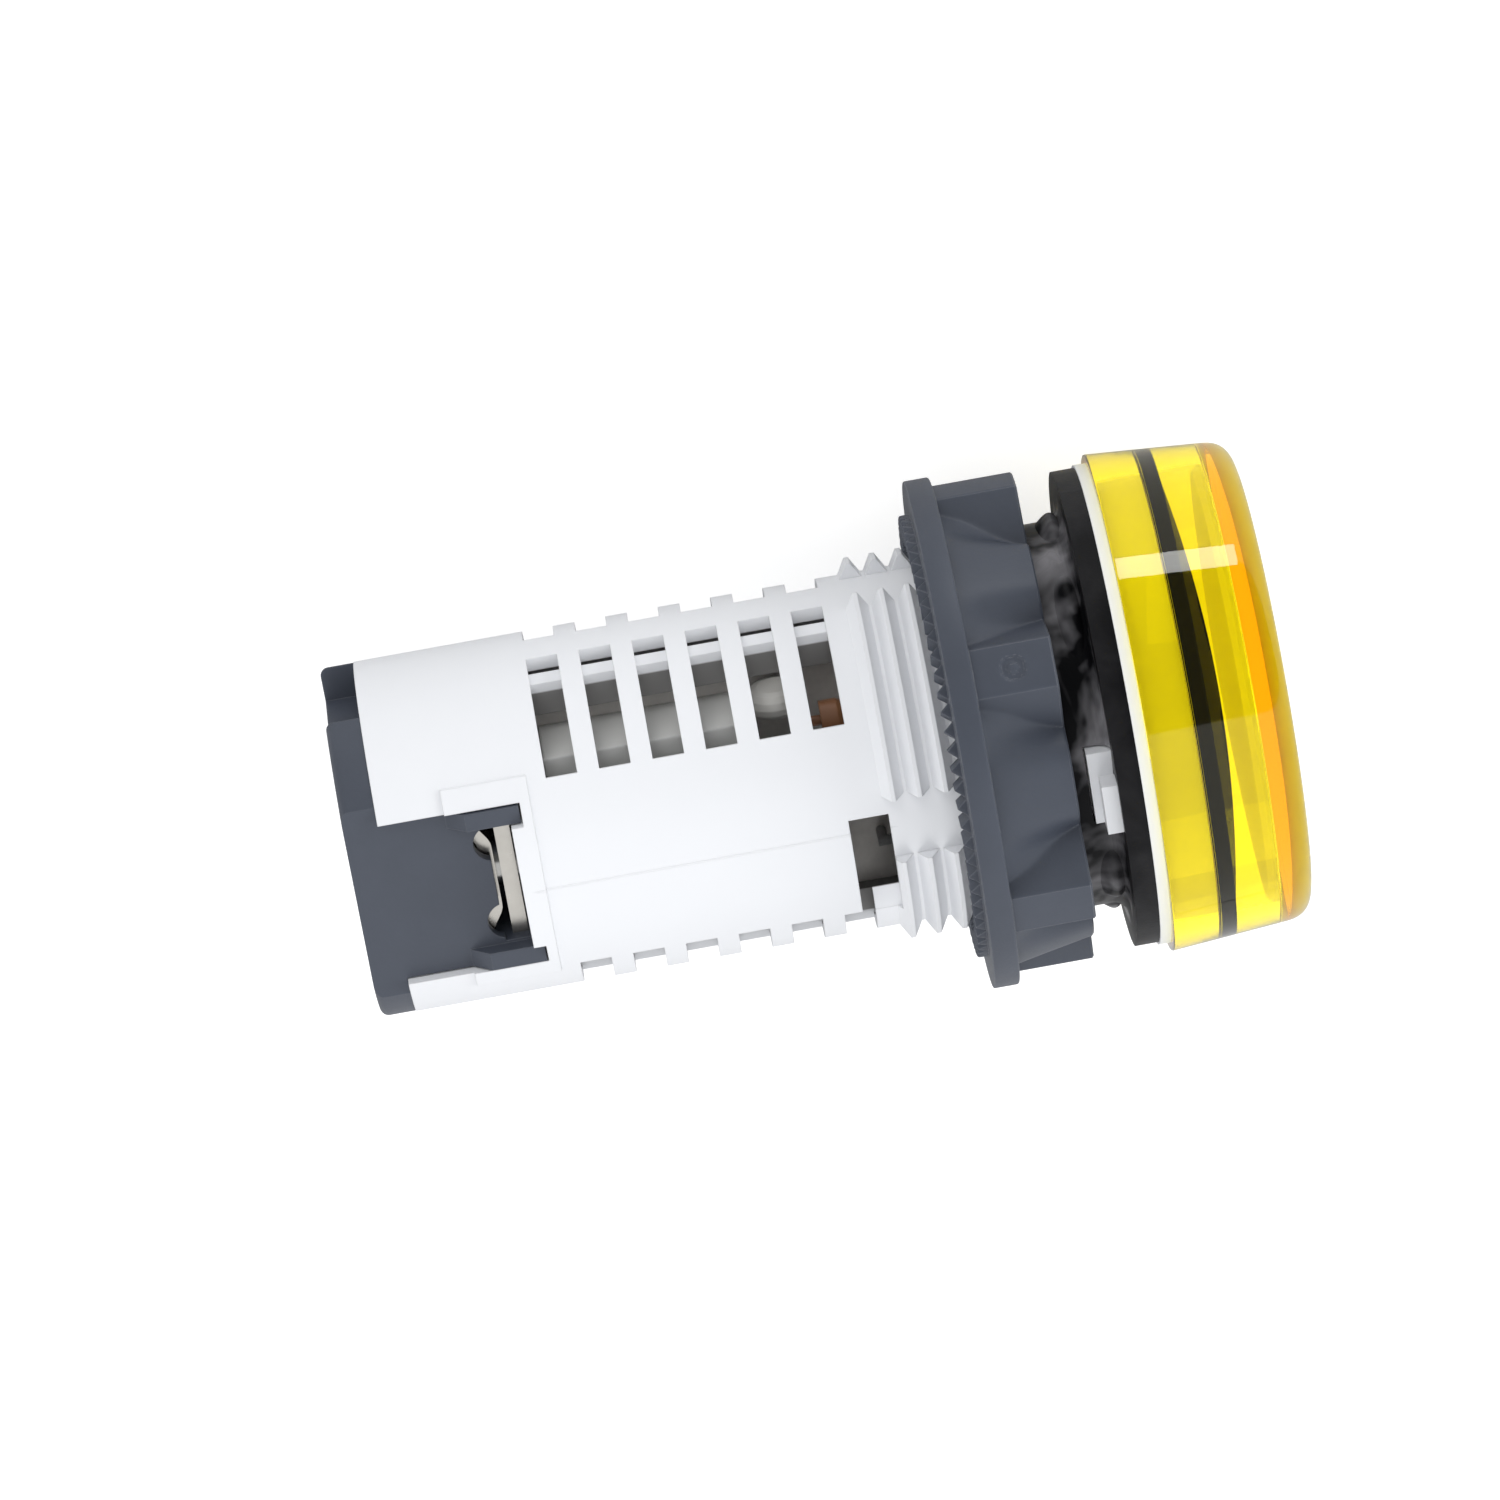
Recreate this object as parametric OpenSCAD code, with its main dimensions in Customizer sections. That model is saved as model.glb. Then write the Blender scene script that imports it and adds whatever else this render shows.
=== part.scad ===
/* [Lens cap] */
// Outer radius of the lens at its rear rim
lens_r = 14.5; // [14.2:0.1:17]
// Outer radius of the lens where its front edge begins to round
lens_front_r = 13.85; // [13.4:0.05:14.2]
// Height of the lens from rim to front face
lens_h = 8.35; // [7.6:0.05:11]
// Radius of the rounding round the front face
lens_edge_r = 1.2; // [0.6:0.1:1.6]
// Thickness of the lens side wall
lens_wall = 1.6; // [1.2:0.1:1.9]
// Thickness of the lens front wall
lens_front_t = 2; // [1.2:0.1:2.6]
// Play between the lens and the collar it snaps over
lens_play = 0.15; // [0.05:0.05:0.3]
// Thickness of the diffuser on the back of the lens front wall
diffuser_t = 0.7; // [0.5:0.05:1]

/* [Body] */
// Outer radius of the tube behind the panel
tube_r = 10.2; // [9.9:0.1:10.4]
// Thickness of the tube wall
tube_wall = 0.8; // [0.6:0.1:1.2]
// Length of the tube behind the panel seat
tube_len = 41.3; // [40.5:0.1:50]
// Radius of the head flange under the lens
head_r = 14; // [13.6:0.1:16]
// Thickness of the head flange
head_t = 0.67; // [0.5:0.01:2]
// Height of the collar inside the lens
collar_h = 2.85; // [2.2:0.05:3.2]
// Height of the lamp board's ledge above the head flange's rear face
ledge_h = 1.67; // [1.2:0.01:1.9]

/* [Thread] */
// Radius of the thread crests
thread_r = 11.1; // [10.9:0.05:11.2]
// Distance from one crest to the next
thread_pitch = 1.5; // [1.2:0.1:2]
// Number of crests
thread_crests = 7; // [5:1:7]
// Width of the flat on each crest
crest_w = 0.25; // [0.1:0.05:0.4]
// Width of the flat between two crests
root_w = 0.2; // [0.1:0.05:0.3]
// Half width of the four plain strips that run along the thread
keyway_half_w = 1.95; // [1:0.05:2.5]

/* [Key] */
// Width of the locating key
key_w = 3; // [2.4:0.1:3.4]
// Distance from the axis to the top of the key
key_top = 12.9; // [12.2:0.1:13.2]
// Length of the key behind the panel seat
key_len = 0.9; // [0.5:0.1:1.2]
// Width of the pad that the key stands on
pad_w = 4.4; // [4:0.1:6]
// Distance from the axis to the top of the pad
pad_top = 11.5; // [11.3:0.1:11.8]
// Offset of the pad to one side of the key
pad_shift = 0.8; // [0:0.1:1]
// Length of the pad behind the panel seat
pad_len = 1.4; // [1.3:0.1:1.6]

/* [Vent slots and windows] */
// Number of slots in each row
slot_count = 6; // [3:1:6]
// Width of a slot along the body
slot_w = 1.8; // [1:0.1:2.2]
// Distance from one slot to the next
slot_pitch = 3.06; // [2.6:0.02:3.06]
// Distance from the tube's rear end to the first slot
slot_inset = 9.8; // [9.2:0.1:10.5]
// Height of a slot's lower edge above the middle plane
slot_low = 1.26; // [0.8:0.02:2]
// Height of a slot's upper edge above the middle plane
slot_high = 8.26; // [6:0.02:8.4]
// Length of a window along the body
window_len = 2.3; // [1.5:0.1:2.8]
// Distance from the last thread crest to the window
window_gap = 0.4; // [0.3:0.1:1]
// Reach of a window to the far side of the seam
window_short = 0.87; // [0.4:0.01:1.5]
// Reach of a window to the near side of the seam
window_long = 5.97; // [4.5:0.01:6.2]

/* [Gasket] */
// Radius of the gasket flange
gasket_r = 13.85; // [13.4:0.05:15.5]
// Thickness of the gasket flange
gasket_t = 1.33; // [1:0.01:2]
// Outer radius of the gasket sleeve, which fills the panel hole
sleeve_r = 11.15; // [10.9:0.05:11.2]
// Length of the gasket sleeve behind the panel seat
sleeve_len = 2.6; // [1.8:0.1:2.6]
// Radius of the hollow where the sleeve meets the flange
sleeve_fillet_r = 0.85; // [0.4:0.05:0.9]
// Play between the gasket and the key that comes through it
gasket_play = 0.1; // [0.05:0.05:0.2]

/* [Lock nut] */
// Gap between the panel seat and the nut as it is set
nut_gap = 2.4; // [2.3:0.1:4]
// Length of the gripping part of the nut
grip_len = 4.55; // [3.5:0.05:5.2]
// Radius of the nut over its lobes
lobe_r = 14.5; // [14:0.1:16]
// Number of lobes
lobe_count = 6; // [4:1:8]
// Half width of a lobe at its top
lobe_top_half_w = 1.44; // [1:0.02:2]
// Half width of a lobe at its foot
lobe_foot_half_w = 2.75; // [2.3:0.05:3.2]
// Radius between the lobes at the rear
valley_rear_r = 13.7; // [13.2:0.05:13.9]
// Radius between the lobes at the front
valley_front_r = 12.9; // [12.4:0.05:13.2]
// Angle from the key to the nearest lobe as the nut is set
lobe_turn = 21.2; // [0:0.1:60]
// Radius of the nut flange
nut_flange_r = 14.8; // [14.6:0.1:17]
// Thickness of the nut flange
nut_flange_t = 1.5; // [1:0.1:2.5]
// Radius of the serrated ring
ring_r = 12.9; // [12.4:0.1:13.6]
// Depth of the serrations
tooth_h = 0.6; // [0.4:0.05:0.9]
// Half the number of serrations
tooth_pairs = 36; // [18:1:40]
// Play between the thread crests and the nut
nut_play = 0.15; // [0.1:0.05:0.3]
// Radius of the gate mark on one lobe
gate_r = 0.75; // [0.4:0.05:1]
// Depth of the gate mark
gate_depth = 0.12; // [0.05:0.01:0.3]

/* [Rear cover] */
// Radius of the cover's base plate
plate_r = 10.15; // [9.8:0.05:10.2]
// Thickness of the base plate
plate_t = 2; // [1.6:0.1:3]
// Radius of the rounding round the rear of the base plate
plate_edge_r = 0.45; // [0.2:0.05:0.8]
// Distance from the middle plane to a terminal face
face_h = 8.2; // [7.9:0.05:8.3]
// Half width of a terminal block
block_half_w = 5; // [4.8:0.1:5.3]
// Distance from the middle plane to the foot of a terminal block
block_foot_h = 2.4; // [2.3:0.05:2.5]
// Thickness of the wall at each side of the wire space
cheek_t = 1.25; // [1:0.05:1.3]
// Height of the ribs above the terminal face
rib_h = 0.97; // [0.5:0.01:1.1]
// Width of a rib
rib_w = 1.07; // [0.7:0.01:1.1]
// Length of a rib behind its ramp
rib_len = 3.1; // [2.6:0.1:3.4]
// Length of the ramp at the end of a rib
rib_ramp = 1.1; // [0.6:0.1:1.5]
// Half width of the notch in each side of the base plate
side_notch_half_w = 3.6; // [2.5:0.1:4]
// Distance from the middle plane to the floor of a side notch
side_notch_floor = 7.4; // [7:0.1:8.6]
// Play between the cover and the tube
cover_play = 0.1; // [0.05:0.05:0.15]
// Radius of the round part of a wire hole
wire_hole_r = 1.1; // [0.8:0.05:1.2]
// Distance from the screw to a wire hole
wire_hole_x = 2.5; // [2.3:0.05:2.6]
// Distance that the opened body wall leaves clear in front of the cover
mouth_len = 7.4; // [7.2:0.1:7.8]

/* [Terminals] */
// Distance from the axis to a clamp screw
screw_h = 5.3; // [5.2:0.05:5.4]
// Radius of the screw's thread
screw_r = 1.5; // [1.2:0.1:1.6]
// Radius of the screw's head
screw_head_r = 2.05; // [1.8:0.05:2.1]
// Height of the screw's head
screw_head_h = 1.6; // [1.2:0.1:1.8]
// Width of the slot in the screw's head
screw_slot_w = 0.7; // [0.5:0.05:0.9]
// Play round the moving terminal pieces
screw_play = 0.1; // [0.05:0.05:0.15]
// Thickness of a terminal strip
strip_t = 0.9; // [0.6:0.05:1]
// Thickness of a clamp plate
clamp_t = 0.8; // [0.5:0.05:0.9]
// Gap between a clamp plate and its strip as it is set
clamp_gap = 0.3; // [0.28:0.01:0.5]
// Depth of the two saddles in a clamp plate
saddle_depth = 0.7; // [0.3:0.05:0.8]
// Travel of a clamp plate from its set place to open
clamp_travel = 1.6; // [0.8:0.1:1.7]

/* [Circuit board] */
// Thickness of the main board
board_t = 1.2; // [0.8:0.1:1.2]
// Height of the main board's upper face above the middle plane
board_top = 2; // [1.9:0.05:2.05]
// Half width of the main board
board_half_w = 8; // [7.4:0.1:8.2]
// Thickness of the guide rails that hold the board's edges
rail_t = 0.9; // [0.6:0.1:1]
// Grip of the rails on the board's edges
rail_grip = 0.7; // [0.4:0.1:1]
// Radius of the lamp board
lamp_board_r = 11.2; // [10.6:0.1:11.3]
// Thickness of the lamp board
lamp_board_t = 1; // [0.8:0.1:1.2]
// Radius of the circle that the lamps stand on
lamp_circle_r = 6.5; // [5:0.1:7.5]
// Height of the lamp mask at its rim
mask_rim_h = 0.9; // [0.6:0.05:1.2]
// Thickness of the lamp mask
mask_t = 0.7; // [0.5:0.05:0.8]
// Gap between the top of the mask and the diffuser
mask_gap = 0.3; // [0.1:0.05:0.6]
// Radius of the mask's hole above each lamp
mask_hole_r = 1.7; // [1.2:0.1:2.1]

/* [Hidden] */

lamp_count = 6;
round_fn = 96;
small_fn = 32;
// Overshoot that makes a cut pass clean through a face
cut = 1;
// Overlap that joins two shapes of one moulding
join = 0.3;

// Places along the axis, from the panel seat, positive towards the lens
head_front = gasket_t + head_t;
collar_front = head_front + collar_h;
ledge = gasket_t + ledge_h;
tube_back = -tube_len;
cover_back = tube_back - plate_t;
mouth_front = tube_back + mouth_len;
grip_front = -nut_gap;
grip_back = grip_front - grip_len;
nut_flange_back = grip_back - nut_flange_t;
nut_back = nut_flange_back - tooth_h;
thread_front = -sleeve_len - gasket_play;
thread_back = thread_front - thread_pitch * thread_crests;
window_front = thread_back + thread_pitch / 2 - window_gap;

// Radii that follow from what fits inside what
tube_bore_r = tube_r - tube_wall;
lens_bore_r = lens_r - lens_wall;
collar_r = lens_bore_r - lens_play;
nut_bore_r = thread_r + nut_play;
lamp_recess_r = lamp_board_r + lens_play;

// The diffuser lies on the lens's front wall, and the lamp mask on the collar
diffuser_front = head_front + lens_h - lens_front_t;
mask_top = diffuser_front - diffuser_t - mask_gap;

// The wire space in a terminal block
space_half_w = block_half_w - cheek_t;
space_half_h = screw_head_r + 2 * screw_play;
strip_inset = 0.15;
strip_front = mouth_front - strip_inset;
strip_back = strip_front - strip_t;
clamp_front = strip_back - clamp_gap;
clamp_back = clamp_front - clamp_t;
head_front_face = clamp_back - screw_play / 2;
head_back_face = head_front_face - screw_head_h;
space_back = head_back_face - clamp_travel - 2 * screw_play;
lip_inset = 0.45;
lip_front = strip_back - lip_inset;
tab_len = 0.6;
rib_front = mouth_front + tab_len;
rib_back = rib_front - rib_len;
tail_half_w = 1.2;
tail_len = 1.5;
tail_t = 0.6;
saddle_flat = 0.4;
saddle_from = screw_r + saddle_flat;

// The main board runs between the terminal strips and the lamp board
board_gap = 0.05;
board_back = strip_front + board_gap;
board_front = -2.2;
board_under = board_top - board_t;
pin_r = 0.3;
pin_x = 3;
pin_len_on_board = 2;
pin_foot = board_front - pin_len_on_board;

// The pieces on the main board are placed from the front of the box capacitor
tail_clear = 1;
capacitor_half_w = 6.2;
capacitor_len = 11.5;
capacitor_front = board_back + tail_len + tail_clear + capacitor_len;
piece_gap = 0.3;
resistor_len = 7.5;
resistor_1_x = 4.6;
resistor_1_rise = 2.4;
resistor_1_gap = 3.1;
resistor_2_x = -4.2;
resistor_2_rise = 1.4;
resistor_2_gap = 6.5;

// Points of an arc round a centre, from one angle to another
function arc(x, y, r, from, to, steps = 8) = [
    for (i = [0 : steps])
        let (turn = from + (to - from) * i / steps)
        [x + r * cos(turn), y + r * sin(turn)]
];

// Depth of the pressed saddles at a distance from the screw
function saddle(x, depth, span) =
    x <= saddle_from ? 0 : depth * pow(sin(180 * (x - saddle_from) / span), 2);

// Turns a shape that is built with the lens upwards so that the lens looks along -Y
module in_panel() {
    rotate([90, 0, 0])
        children();
}

// The shape and its copy half a turn round the axis
module both_sides() {
    for (turn = [0, 180])
        rotate([0, 0, turn])
            children();
}

module tube_section(r, from, to) {
    translate([0, 0, from])
        cylinder(r = r, h = to - from, $fn = round_fn);
}

module bar(x_from, x_to, y_from, y_to, z_from, z_to) {
    translate([x_from, y_from, z_from])
        cube([x_to - x_from, y_to - y_from, z_to - z_from]);
}

module lens() {
    side_top = lens_h - lens_edge_r;
    face_r = lens_front_r - lens_edge_r;
    cavity_h = lens_h - lens_front_t;
    color("gold", 0.6)
        in_panel()
            translate([0, 0, head_front])
                rotate_extrude($fn = round_fn)
                    polygon(concat(
                        [[lens_bore_r, 0], [lens_r, 0]],
                        arc(face_r, side_top, lens_edge_r, 0, 90),
                        [[0, lens_h], [0, cavity_h], [lens_bore_r - lens_play / 2, cavity_h]]
                    ));
}

module diffuser() {
    bevel = diffuser_t / 2;
    color("ivory", 0.8)
        in_panel()
            translate([0, 0, diffuser_front])
                rotate_extrude($fn = round_fn)
                    polygon([
                        [0, 0], [0, -diffuser_t], [collar_r - bevel, -diffuser_t],
                        [collar_r, -bevel], [collar_r, 0]
                    ]);
}

// Height of the mask's dome at a distance from the axis
function dome(r) = mask_rim_h + (mask_top - collar_front - mask_rim_h) * (1 - pow(r / collar_r, 2));

module lamp_mask() {
    steps = 10;
    inside_r = lamp_board_r;
    hole_h = mask_top - collar_front + 2 * cut;
    color("black")
        in_panel()
            translate([0, 0, collar_front])
                difference() {
                    rotate_extrude($fn = round_fn)
                        polygon(concat(
                            [[inside_r, 0], [collar_r, 0]],
                            [for (i = [steps : -1 : 0]) let (r = collar_r * i / steps) [r, dome(r)]],
                            [for (i = [0 : steps]) let (r = inside_r * i / steps) [r, dome(r) - mask_t]]
                        ));
                    for (i = [0 : lamp_count - 1])
                        rotate([0, 0, 360 / lamp_count * i])
                            translate([0, lamp_circle_r, -cut])
                                cylinder(r = mask_hole_r, h = hole_h, $fn = small_fn);
                }
}

module lamp_board() {
    color("white")
        in_panel()
            translate([0, 0, ledge])
                difference() {
                    cylinder(r = lamp_board_r, h = lamp_board_t, $fn = round_fn);
                    for (side = [-1, 1])
                        translate([side * pin_x, board_top + pin_r, -cut])
                            cylinder(r = pin_r, h = lamp_board_t + 2 * cut, $fn = small_fn);
                }
}

module lamp(index) {
    case_w = 3;
    case_l = 2.8;
    case_h = 0.75;
    dish_depth = 0.3;
    dish_foot_r = 0.9;
    dish_rim_r = 1.15;
    dish_h = dish_depth + 0.01;
    color("lightyellow")
        in_panel()
            rotate([0, 0, 360 / lamp_count * (index - 1)])
                translate([0, lamp_circle_r, ledge + lamp_board_t])
                    difference() {
                        translate([-case_w / 2, -case_l / 2, 0])
                            cube([case_w, case_l, case_h]);
                        translate([0, 0, case_h - dish_depth])
                            cylinder(r1 = dish_foot_r, r2 = dish_rim_r, h = dish_h, $fn = small_fn);
                    }
}

module shell_wall() {
    rotate_extrude($fn = round_fn)
        polygon([
            [tube_bore_r, tube_back], [tube_r, tube_back],
            [tube_r, gasket_t], [head_r, gasket_t], [head_r, head_front],
            [collar_r, head_front], [collar_r, collar_front],
            [lamp_recess_r, collar_front], [lamp_recess_r, ledge], [tube_bore_r, ledge]
        ]);
}

// Crests of the panel thread, broken by four plain strips
module thread_crest_rings() {
    half_flank = (thread_pitch - crest_w - root_w) / 2;
    difference() {
        rotate_extrude($fn = round_fn)
            polygon(concat(
                [[tube_r - join, thread_back], [tube_r - join, thread_front], [tube_r, thread_front]],
                [for (i = [0 : thread_crests - 1], step = [0 : 3])
                    let (middle = thread_front - thread_pitch * (i + 0.5))
                    step == 0 ? [tube_r, middle + crest_w / 2 + half_flank]
                    : step == 1 ? [thread_r, middle + crest_w / 2]
                    : step == 2 ? [thread_r, middle - crest_w / 2]
                    : [tube_r, middle - crest_w / 2 - half_flank]],
                [[tube_r, thread_back]]
            ));
        for (turn = [0 : 90 : 270])
            rotate([0, 0, turn])
                bar(-keyway_half_w, keyway_half_w, tube_r - 2 * join, thread_r + cut,
                    thread_back - cut, thread_front + cut);
    }
}

// The key that lines up with the panel's notch, on its pad
module locating_key() {
    bar(-key_w / 2, key_w / 2, tube_r - join, key_top, -key_len, gasket_t + join);
    bar(pad_shift - pad_w / 2, pad_shift + pad_w / 2, tube_r - join, pad_top,
        -pad_len, gasket_t + join);
}

module vent_slots() {
    for (i = [0 : slot_count - 1])
        bar(-tube_r - cut, tube_r + cut, slot_low, slot_high,
            tube_back + slot_inset + i * slot_pitch,
            tube_back + slot_inset + i * slot_pitch + slot_w);
}

module terminal_mouth() {
    half_w = block_half_w + cover_play;
    tab_half_w = half_w - rib_w - 2 * cover_play;
    bar(-half_w, half_w, block_foot_h, tube_r + cut, tube_back - cut, mouth_front);
    for (side = [-1, 1])
        bar(side > 0 ? tab_half_w : -half_w, side > 0 ? half_w : -tab_half_w,
            block_foot_h, tube_r + cut, mouth_front - join, rib_front + cover_play);
}

// Low raised frame round the front of each terminal mouth
module mouth_frame() {
    frame_w = 1.3;
    frame_rise = 0.15;
    half_w = block_half_w + frame_w;
    intersection() {
        difference() {
            tube_section(tube_r + frame_rise, rib_back - rib_ramp, mouth_front + frame_w);
            tube_section(tube_r - join, tube_back, 0);
        }
        bar(-half_w, half_w, 0, tube_r + cut, tube_back, 0);
    }
}

// Rails inside the tube that hold one edge of the main board
module board_rails() {
    rail_back = mouth_front + join;
    rail_front = board_front;
    intersection() {
        tube_section(tube_bore_r + join, rail_back, rail_front);
        for (side = [-1, 1])
            for (low = [board_under - rail_t, board_top])
                bar(side > 0 ? board_half_w - rail_grip : -tube_r,
                    side > 0 ? tube_r : -board_half_w + rail_grip,
                    low, low + rail_t, rail_back, rail_front);
    }
}

module body_shell() {
    color("white")
        in_panel() {
            difference() {
                union() {
                    shell_wall();
                    thread_crest_rings();
                    locating_key();
                    both_sides()
                        mouth_frame();
                }
                both_sides() {
                    vent_slots();
                    terminal_mouth();
                    bar(-window_long, window_short, slot_high, tube_r + cut,
                        window_front - window_len, window_front);
                }
            }
            board_rails();
        }
}

module gasket() {
    color("black")
        in_panel()
            difference() {
                rotate_extrude($fn = round_fn)
                    polygon(concat(
                        [[tube_r, gasket_t], [tube_r, -sleeve_len], [sleeve_r, -sleeve_len]],
                        arc(sleeve_r + sleeve_fillet_r, -sleeve_fillet_r, sleeve_fillet_r, 180, 90, 6),
                        [[gasket_r, 0], [gasket_r, gasket_t]]
                    ));
                bar(-key_w / 2 - gasket_play, key_w / 2 + gasket_play, 0, key_top + gasket_play,
                    -key_len - gasket_play, gasket_t + cut);
                bar(pad_shift - pad_w / 2 - gasket_play, pad_shift + pad_w / 2 + gasket_play,
                    0, pad_top + gasket_play, -pad_len - gasket_play, gasket_t + cut);
            }
}

// Outline of the gripping lobes, their flanks sloping down to inside the valleys
function lobe_points(turn) =
    let (
        foot_r = valley_front_r - 2 * join,
        foot_turn = asin(lobe_foot_half_w / foot_r),
        top_turn = asin(lobe_top_half_w / lobe_r)
    )
    concat(
        [[foot_r * cos(turn - foot_turn), foot_r * sin(turn - foot_turn)]],
        arc(0, 0, lobe_r, turn - top_turn, turn + top_turn, 5),
        [[foot_r * cos(turn + foot_turn), foot_r * sin(turn + foot_turn)]]
    );

module nut_lobes() {
    translate([0, 0, grip_back - join])
        linear_extrude(height = grip_len + join)
            polygon([
                for (i = [0 : lobe_count - 1])
                    each lobe_points(90 + lobe_turn + 360 / lobe_count * i)
            ]);
}

module gate_mark() {
    translate([0, lobe_r + cut, (grip_front + grip_back) / 2])
        rotate([90, 0, 0])
            difference() {
                cylinder(r = gate_r, h = cut + gate_depth, $fn = small_fn);
                cylinder(r = gate_r / 3, h = cut + 2 * gate_depth, $fn = small_fn);
            }
}

// Crown of pointed teeth on the rear face, left between short grooves
module tooth_ring() {
    tooth_pitch = 180 / tooth_pairs;
    groove_from = nut_bore_r - join / 2;
    groove_over = 0.05;
    groove_share = 0.98;
    groove_half_w = groove_share * groove_from * sin(tooth_pitch / 2);
    difference() {
        rotate_extrude($fn = round_fn)
            polygon([
                [nut_bore_r, nut_back], [ring_r, nut_back],
                [ring_r, nut_flange_back + join], [nut_bore_r, nut_flange_back + join]
            ]);
        for (i = [0 : 2 * tooth_pairs - 1])
            rotate([0, 0, tooth_pitch * (i + 0.5)])
                translate([0, ring_r + join, nut_back])
                    rotate([90, 0, 0])
                        linear_extrude(height = ring_r + join - groove_from)
                            polygon([
                                [-groove_half_w, -groove_over], [groove_half_w, -groove_over],
                                [0, tooth_h - groove_over]
                            ]);
    }
}

module lock_nut() {
    color([0.27, 0.29, 0.34])
        in_panel() {
            difference() {
                union() {
                    rotate_extrude($fn = round_fn)
                        polygon([
                            [0, nut_flange_back], [nut_flange_r, nut_flange_back],
                            [nut_flange_r, grip_back], [valley_rear_r, grip_back],
                            [valley_front_r, grip_front], [0, grip_front]
                        ]);
                    nut_lobes();
                }
                tube_section(nut_bore_r, nut_back - cut, grip_front + cut);
                rotate([0, 0, lobe_turn - 360 / lobe_count])
                    gate_mark();
            }
            tooth_ring();
        }
}

module cover_plate() {
    intersection() {
        rotate_extrude($fn = round_fn)
            polygon(concat(
                [[0, cover_back]],
                arc(plate_r - plate_edge_r, cover_back + plate_edge_r, plate_edge_r, -90, 0, 5),
                [[plate_r, tube_back], [0, tube_back]]
            ));
        bar(-plate_r, plate_r, -face_h, face_h, cover_back, tube_back);
    }
}

// One terminal block: two cheeks with ribs, a face, a foot and the space between
module terminal_block() {
    difference() {
        union() {
            bar(-block_half_w, block_half_w, block_foot_h, face_h, tube_back - join, lip_front);
            for (side = [-1, 1])
                bar(side > 0 ? space_half_w : -block_half_w, side > 0 ? block_half_w : -space_half_w,
                    block_foot_h, face_h, tube_back - join, rib_front);
            bar(-space_half_w - join, space_half_w + join, block_foot_h, screw_h - space_half_h,
                tube_back - join, strip_back);
            for (side = [-1, 1])
                translate([side > 0 ? block_half_w - rib_w : -block_half_w, 0, 0])
                    rotate([90, 0, 90])
                        linear_extrude(height = rib_w)
                            polygon([
                                [face_h - join, rib_back - rib_ramp], [face_h, rib_back - rib_ramp],
                                [face_h + rib_h, rib_back], [face_h + rib_h, rib_front],
                                [face_h - join, rib_front]
                            ]);
        }
        bar(-space_half_w, space_half_w, screw_h - space_half_h, screw_h + space_half_h,
            space_back, mouth_front + cut);
        for (side = [-1, 1])
            translate([side * wire_hole_x, face_h + cut, lip_front + wire_hole_r / 4])
                rotate([90, 0, 0])
                    cylinder(r = wire_hole_r, h = face_h + cut - screw_h, $fn = small_fn);
    }
}

module rear_cover() {
    spigot_len = 1.6;
    spigot_r = tube_bore_r - cover_play;
    color([0.27, 0.29, 0.34])
        in_panel()
            difference() {
                union() {
                    cover_plate();
                    intersection() {
                        tube_section(spigot_r, tube_back - join, tube_back + spigot_len);
                        bar(-side_notch_floor + cover_play, side_notch_floor - cover_play,
                            -face_h, face_h, tube_back - join, tube_back + spigot_len);
                    }
                    both_sides()
                        terminal_block();
                }
                both_sides() {
                    bar(side_notch_floor, plate_r + cut, -side_notch_half_w, side_notch_half_w,
                        cover_back - cut, tube_back + cut);
                    translate([0, screw_h, 0])
                        tube_section(screw_head_r + 2 * screw_play, cover_back - cut, space_back + join);
                }
            }
}

// Outline of a pressed strip seen along the wire: two saddles beside a flat middle
module pressed_outline(half_w, thickness, depth, span) {
    steps = 12;
    near = [for (i = [-steps : steps]) let (x = half_w * i / steps) [x, -saddle(abs(x), depth, span)]];
    far = [for (i = [steps : -1 : -steps]) let (x = half_w * i / steps)
        [x, thickness - saddle(abs(x), depth, span)]];
    polygon(concat(near, far));
}

module terminal_strip(tail_foot) {
    plate_low = screw_h - space_half_h;
    plate_high = screw_h + space_half_h - screw_play;
    color("silver") {
        difference() {
            bar(-space_half_w, space_half_w, plate_low, plate_high, strip_back, strip_front);
            translate([0, screw_h, 0])
                tube_section(screw_r + screw_play, strip_back - cut, strip_front + cut);
        }
        bar(-tail_half_w, tail_half_w, tail_foot, plate_low, strip_back, strip_front);
        bar(-tail_half_w, tail_half_w, tail_foot, tail_foot + tail_t, strip_front, strip_front + tail_len);
    }
}

module clamp_plate() {
    half_w = space_half_w - 2 * screw_play;
    plate_half_h = space_half_h - 2 * screw_play;
    color("silver")
        difference() {
            translate([0, screw_h + plate_half_h, clamp_back])
                rotate([90, 0, 0])
                    linear_extrude(height = 2 * plate_half_h)
                        pressed_outline(half_w, clamp_t, saddle_depth, 2 * (half_w - saddle_from));
            translate([0, screw_h, 0])
                tube_section(screw_r + screw_play, clamp_back - cut, clamp_front + cut);
        }
}

module clamp_screw() {
    tip = strip_front + clamp_gap;
    groove = screw_head_h / 2;
    color("gainsboro")
        translate([0, screw_h, 0])
            difference() {
                union() {
                    tube_section(screw_head_r, head_back_face, head_front_face);
                    tube_section(screw_r, head_front_face - join, tip);
                }
                for (turn = [0, 90])
                    rotate([0, 0, turn])
                        bar(-screw_head_r - cut, screw_head_r + cut, -screw_slot_w / 2, screw_slot_w / 2,
                            head_back_face - cut, head_back_face + groove);
            }
}

module main_board() {
    color("darkgreen")
        in_panel()
            bar(-board_half_w, board_half_w, board_under, board_top, board_back, board_front);
}

module box_capacitor() {
    height = 4.4;
    color("gainsboro")
        in_panel()
            bar(-capacitor_half_w, capacitor_half_w, board_top, board_top + height,
                capacitor_front - capacitor_len, capacitor_front);
}

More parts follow.
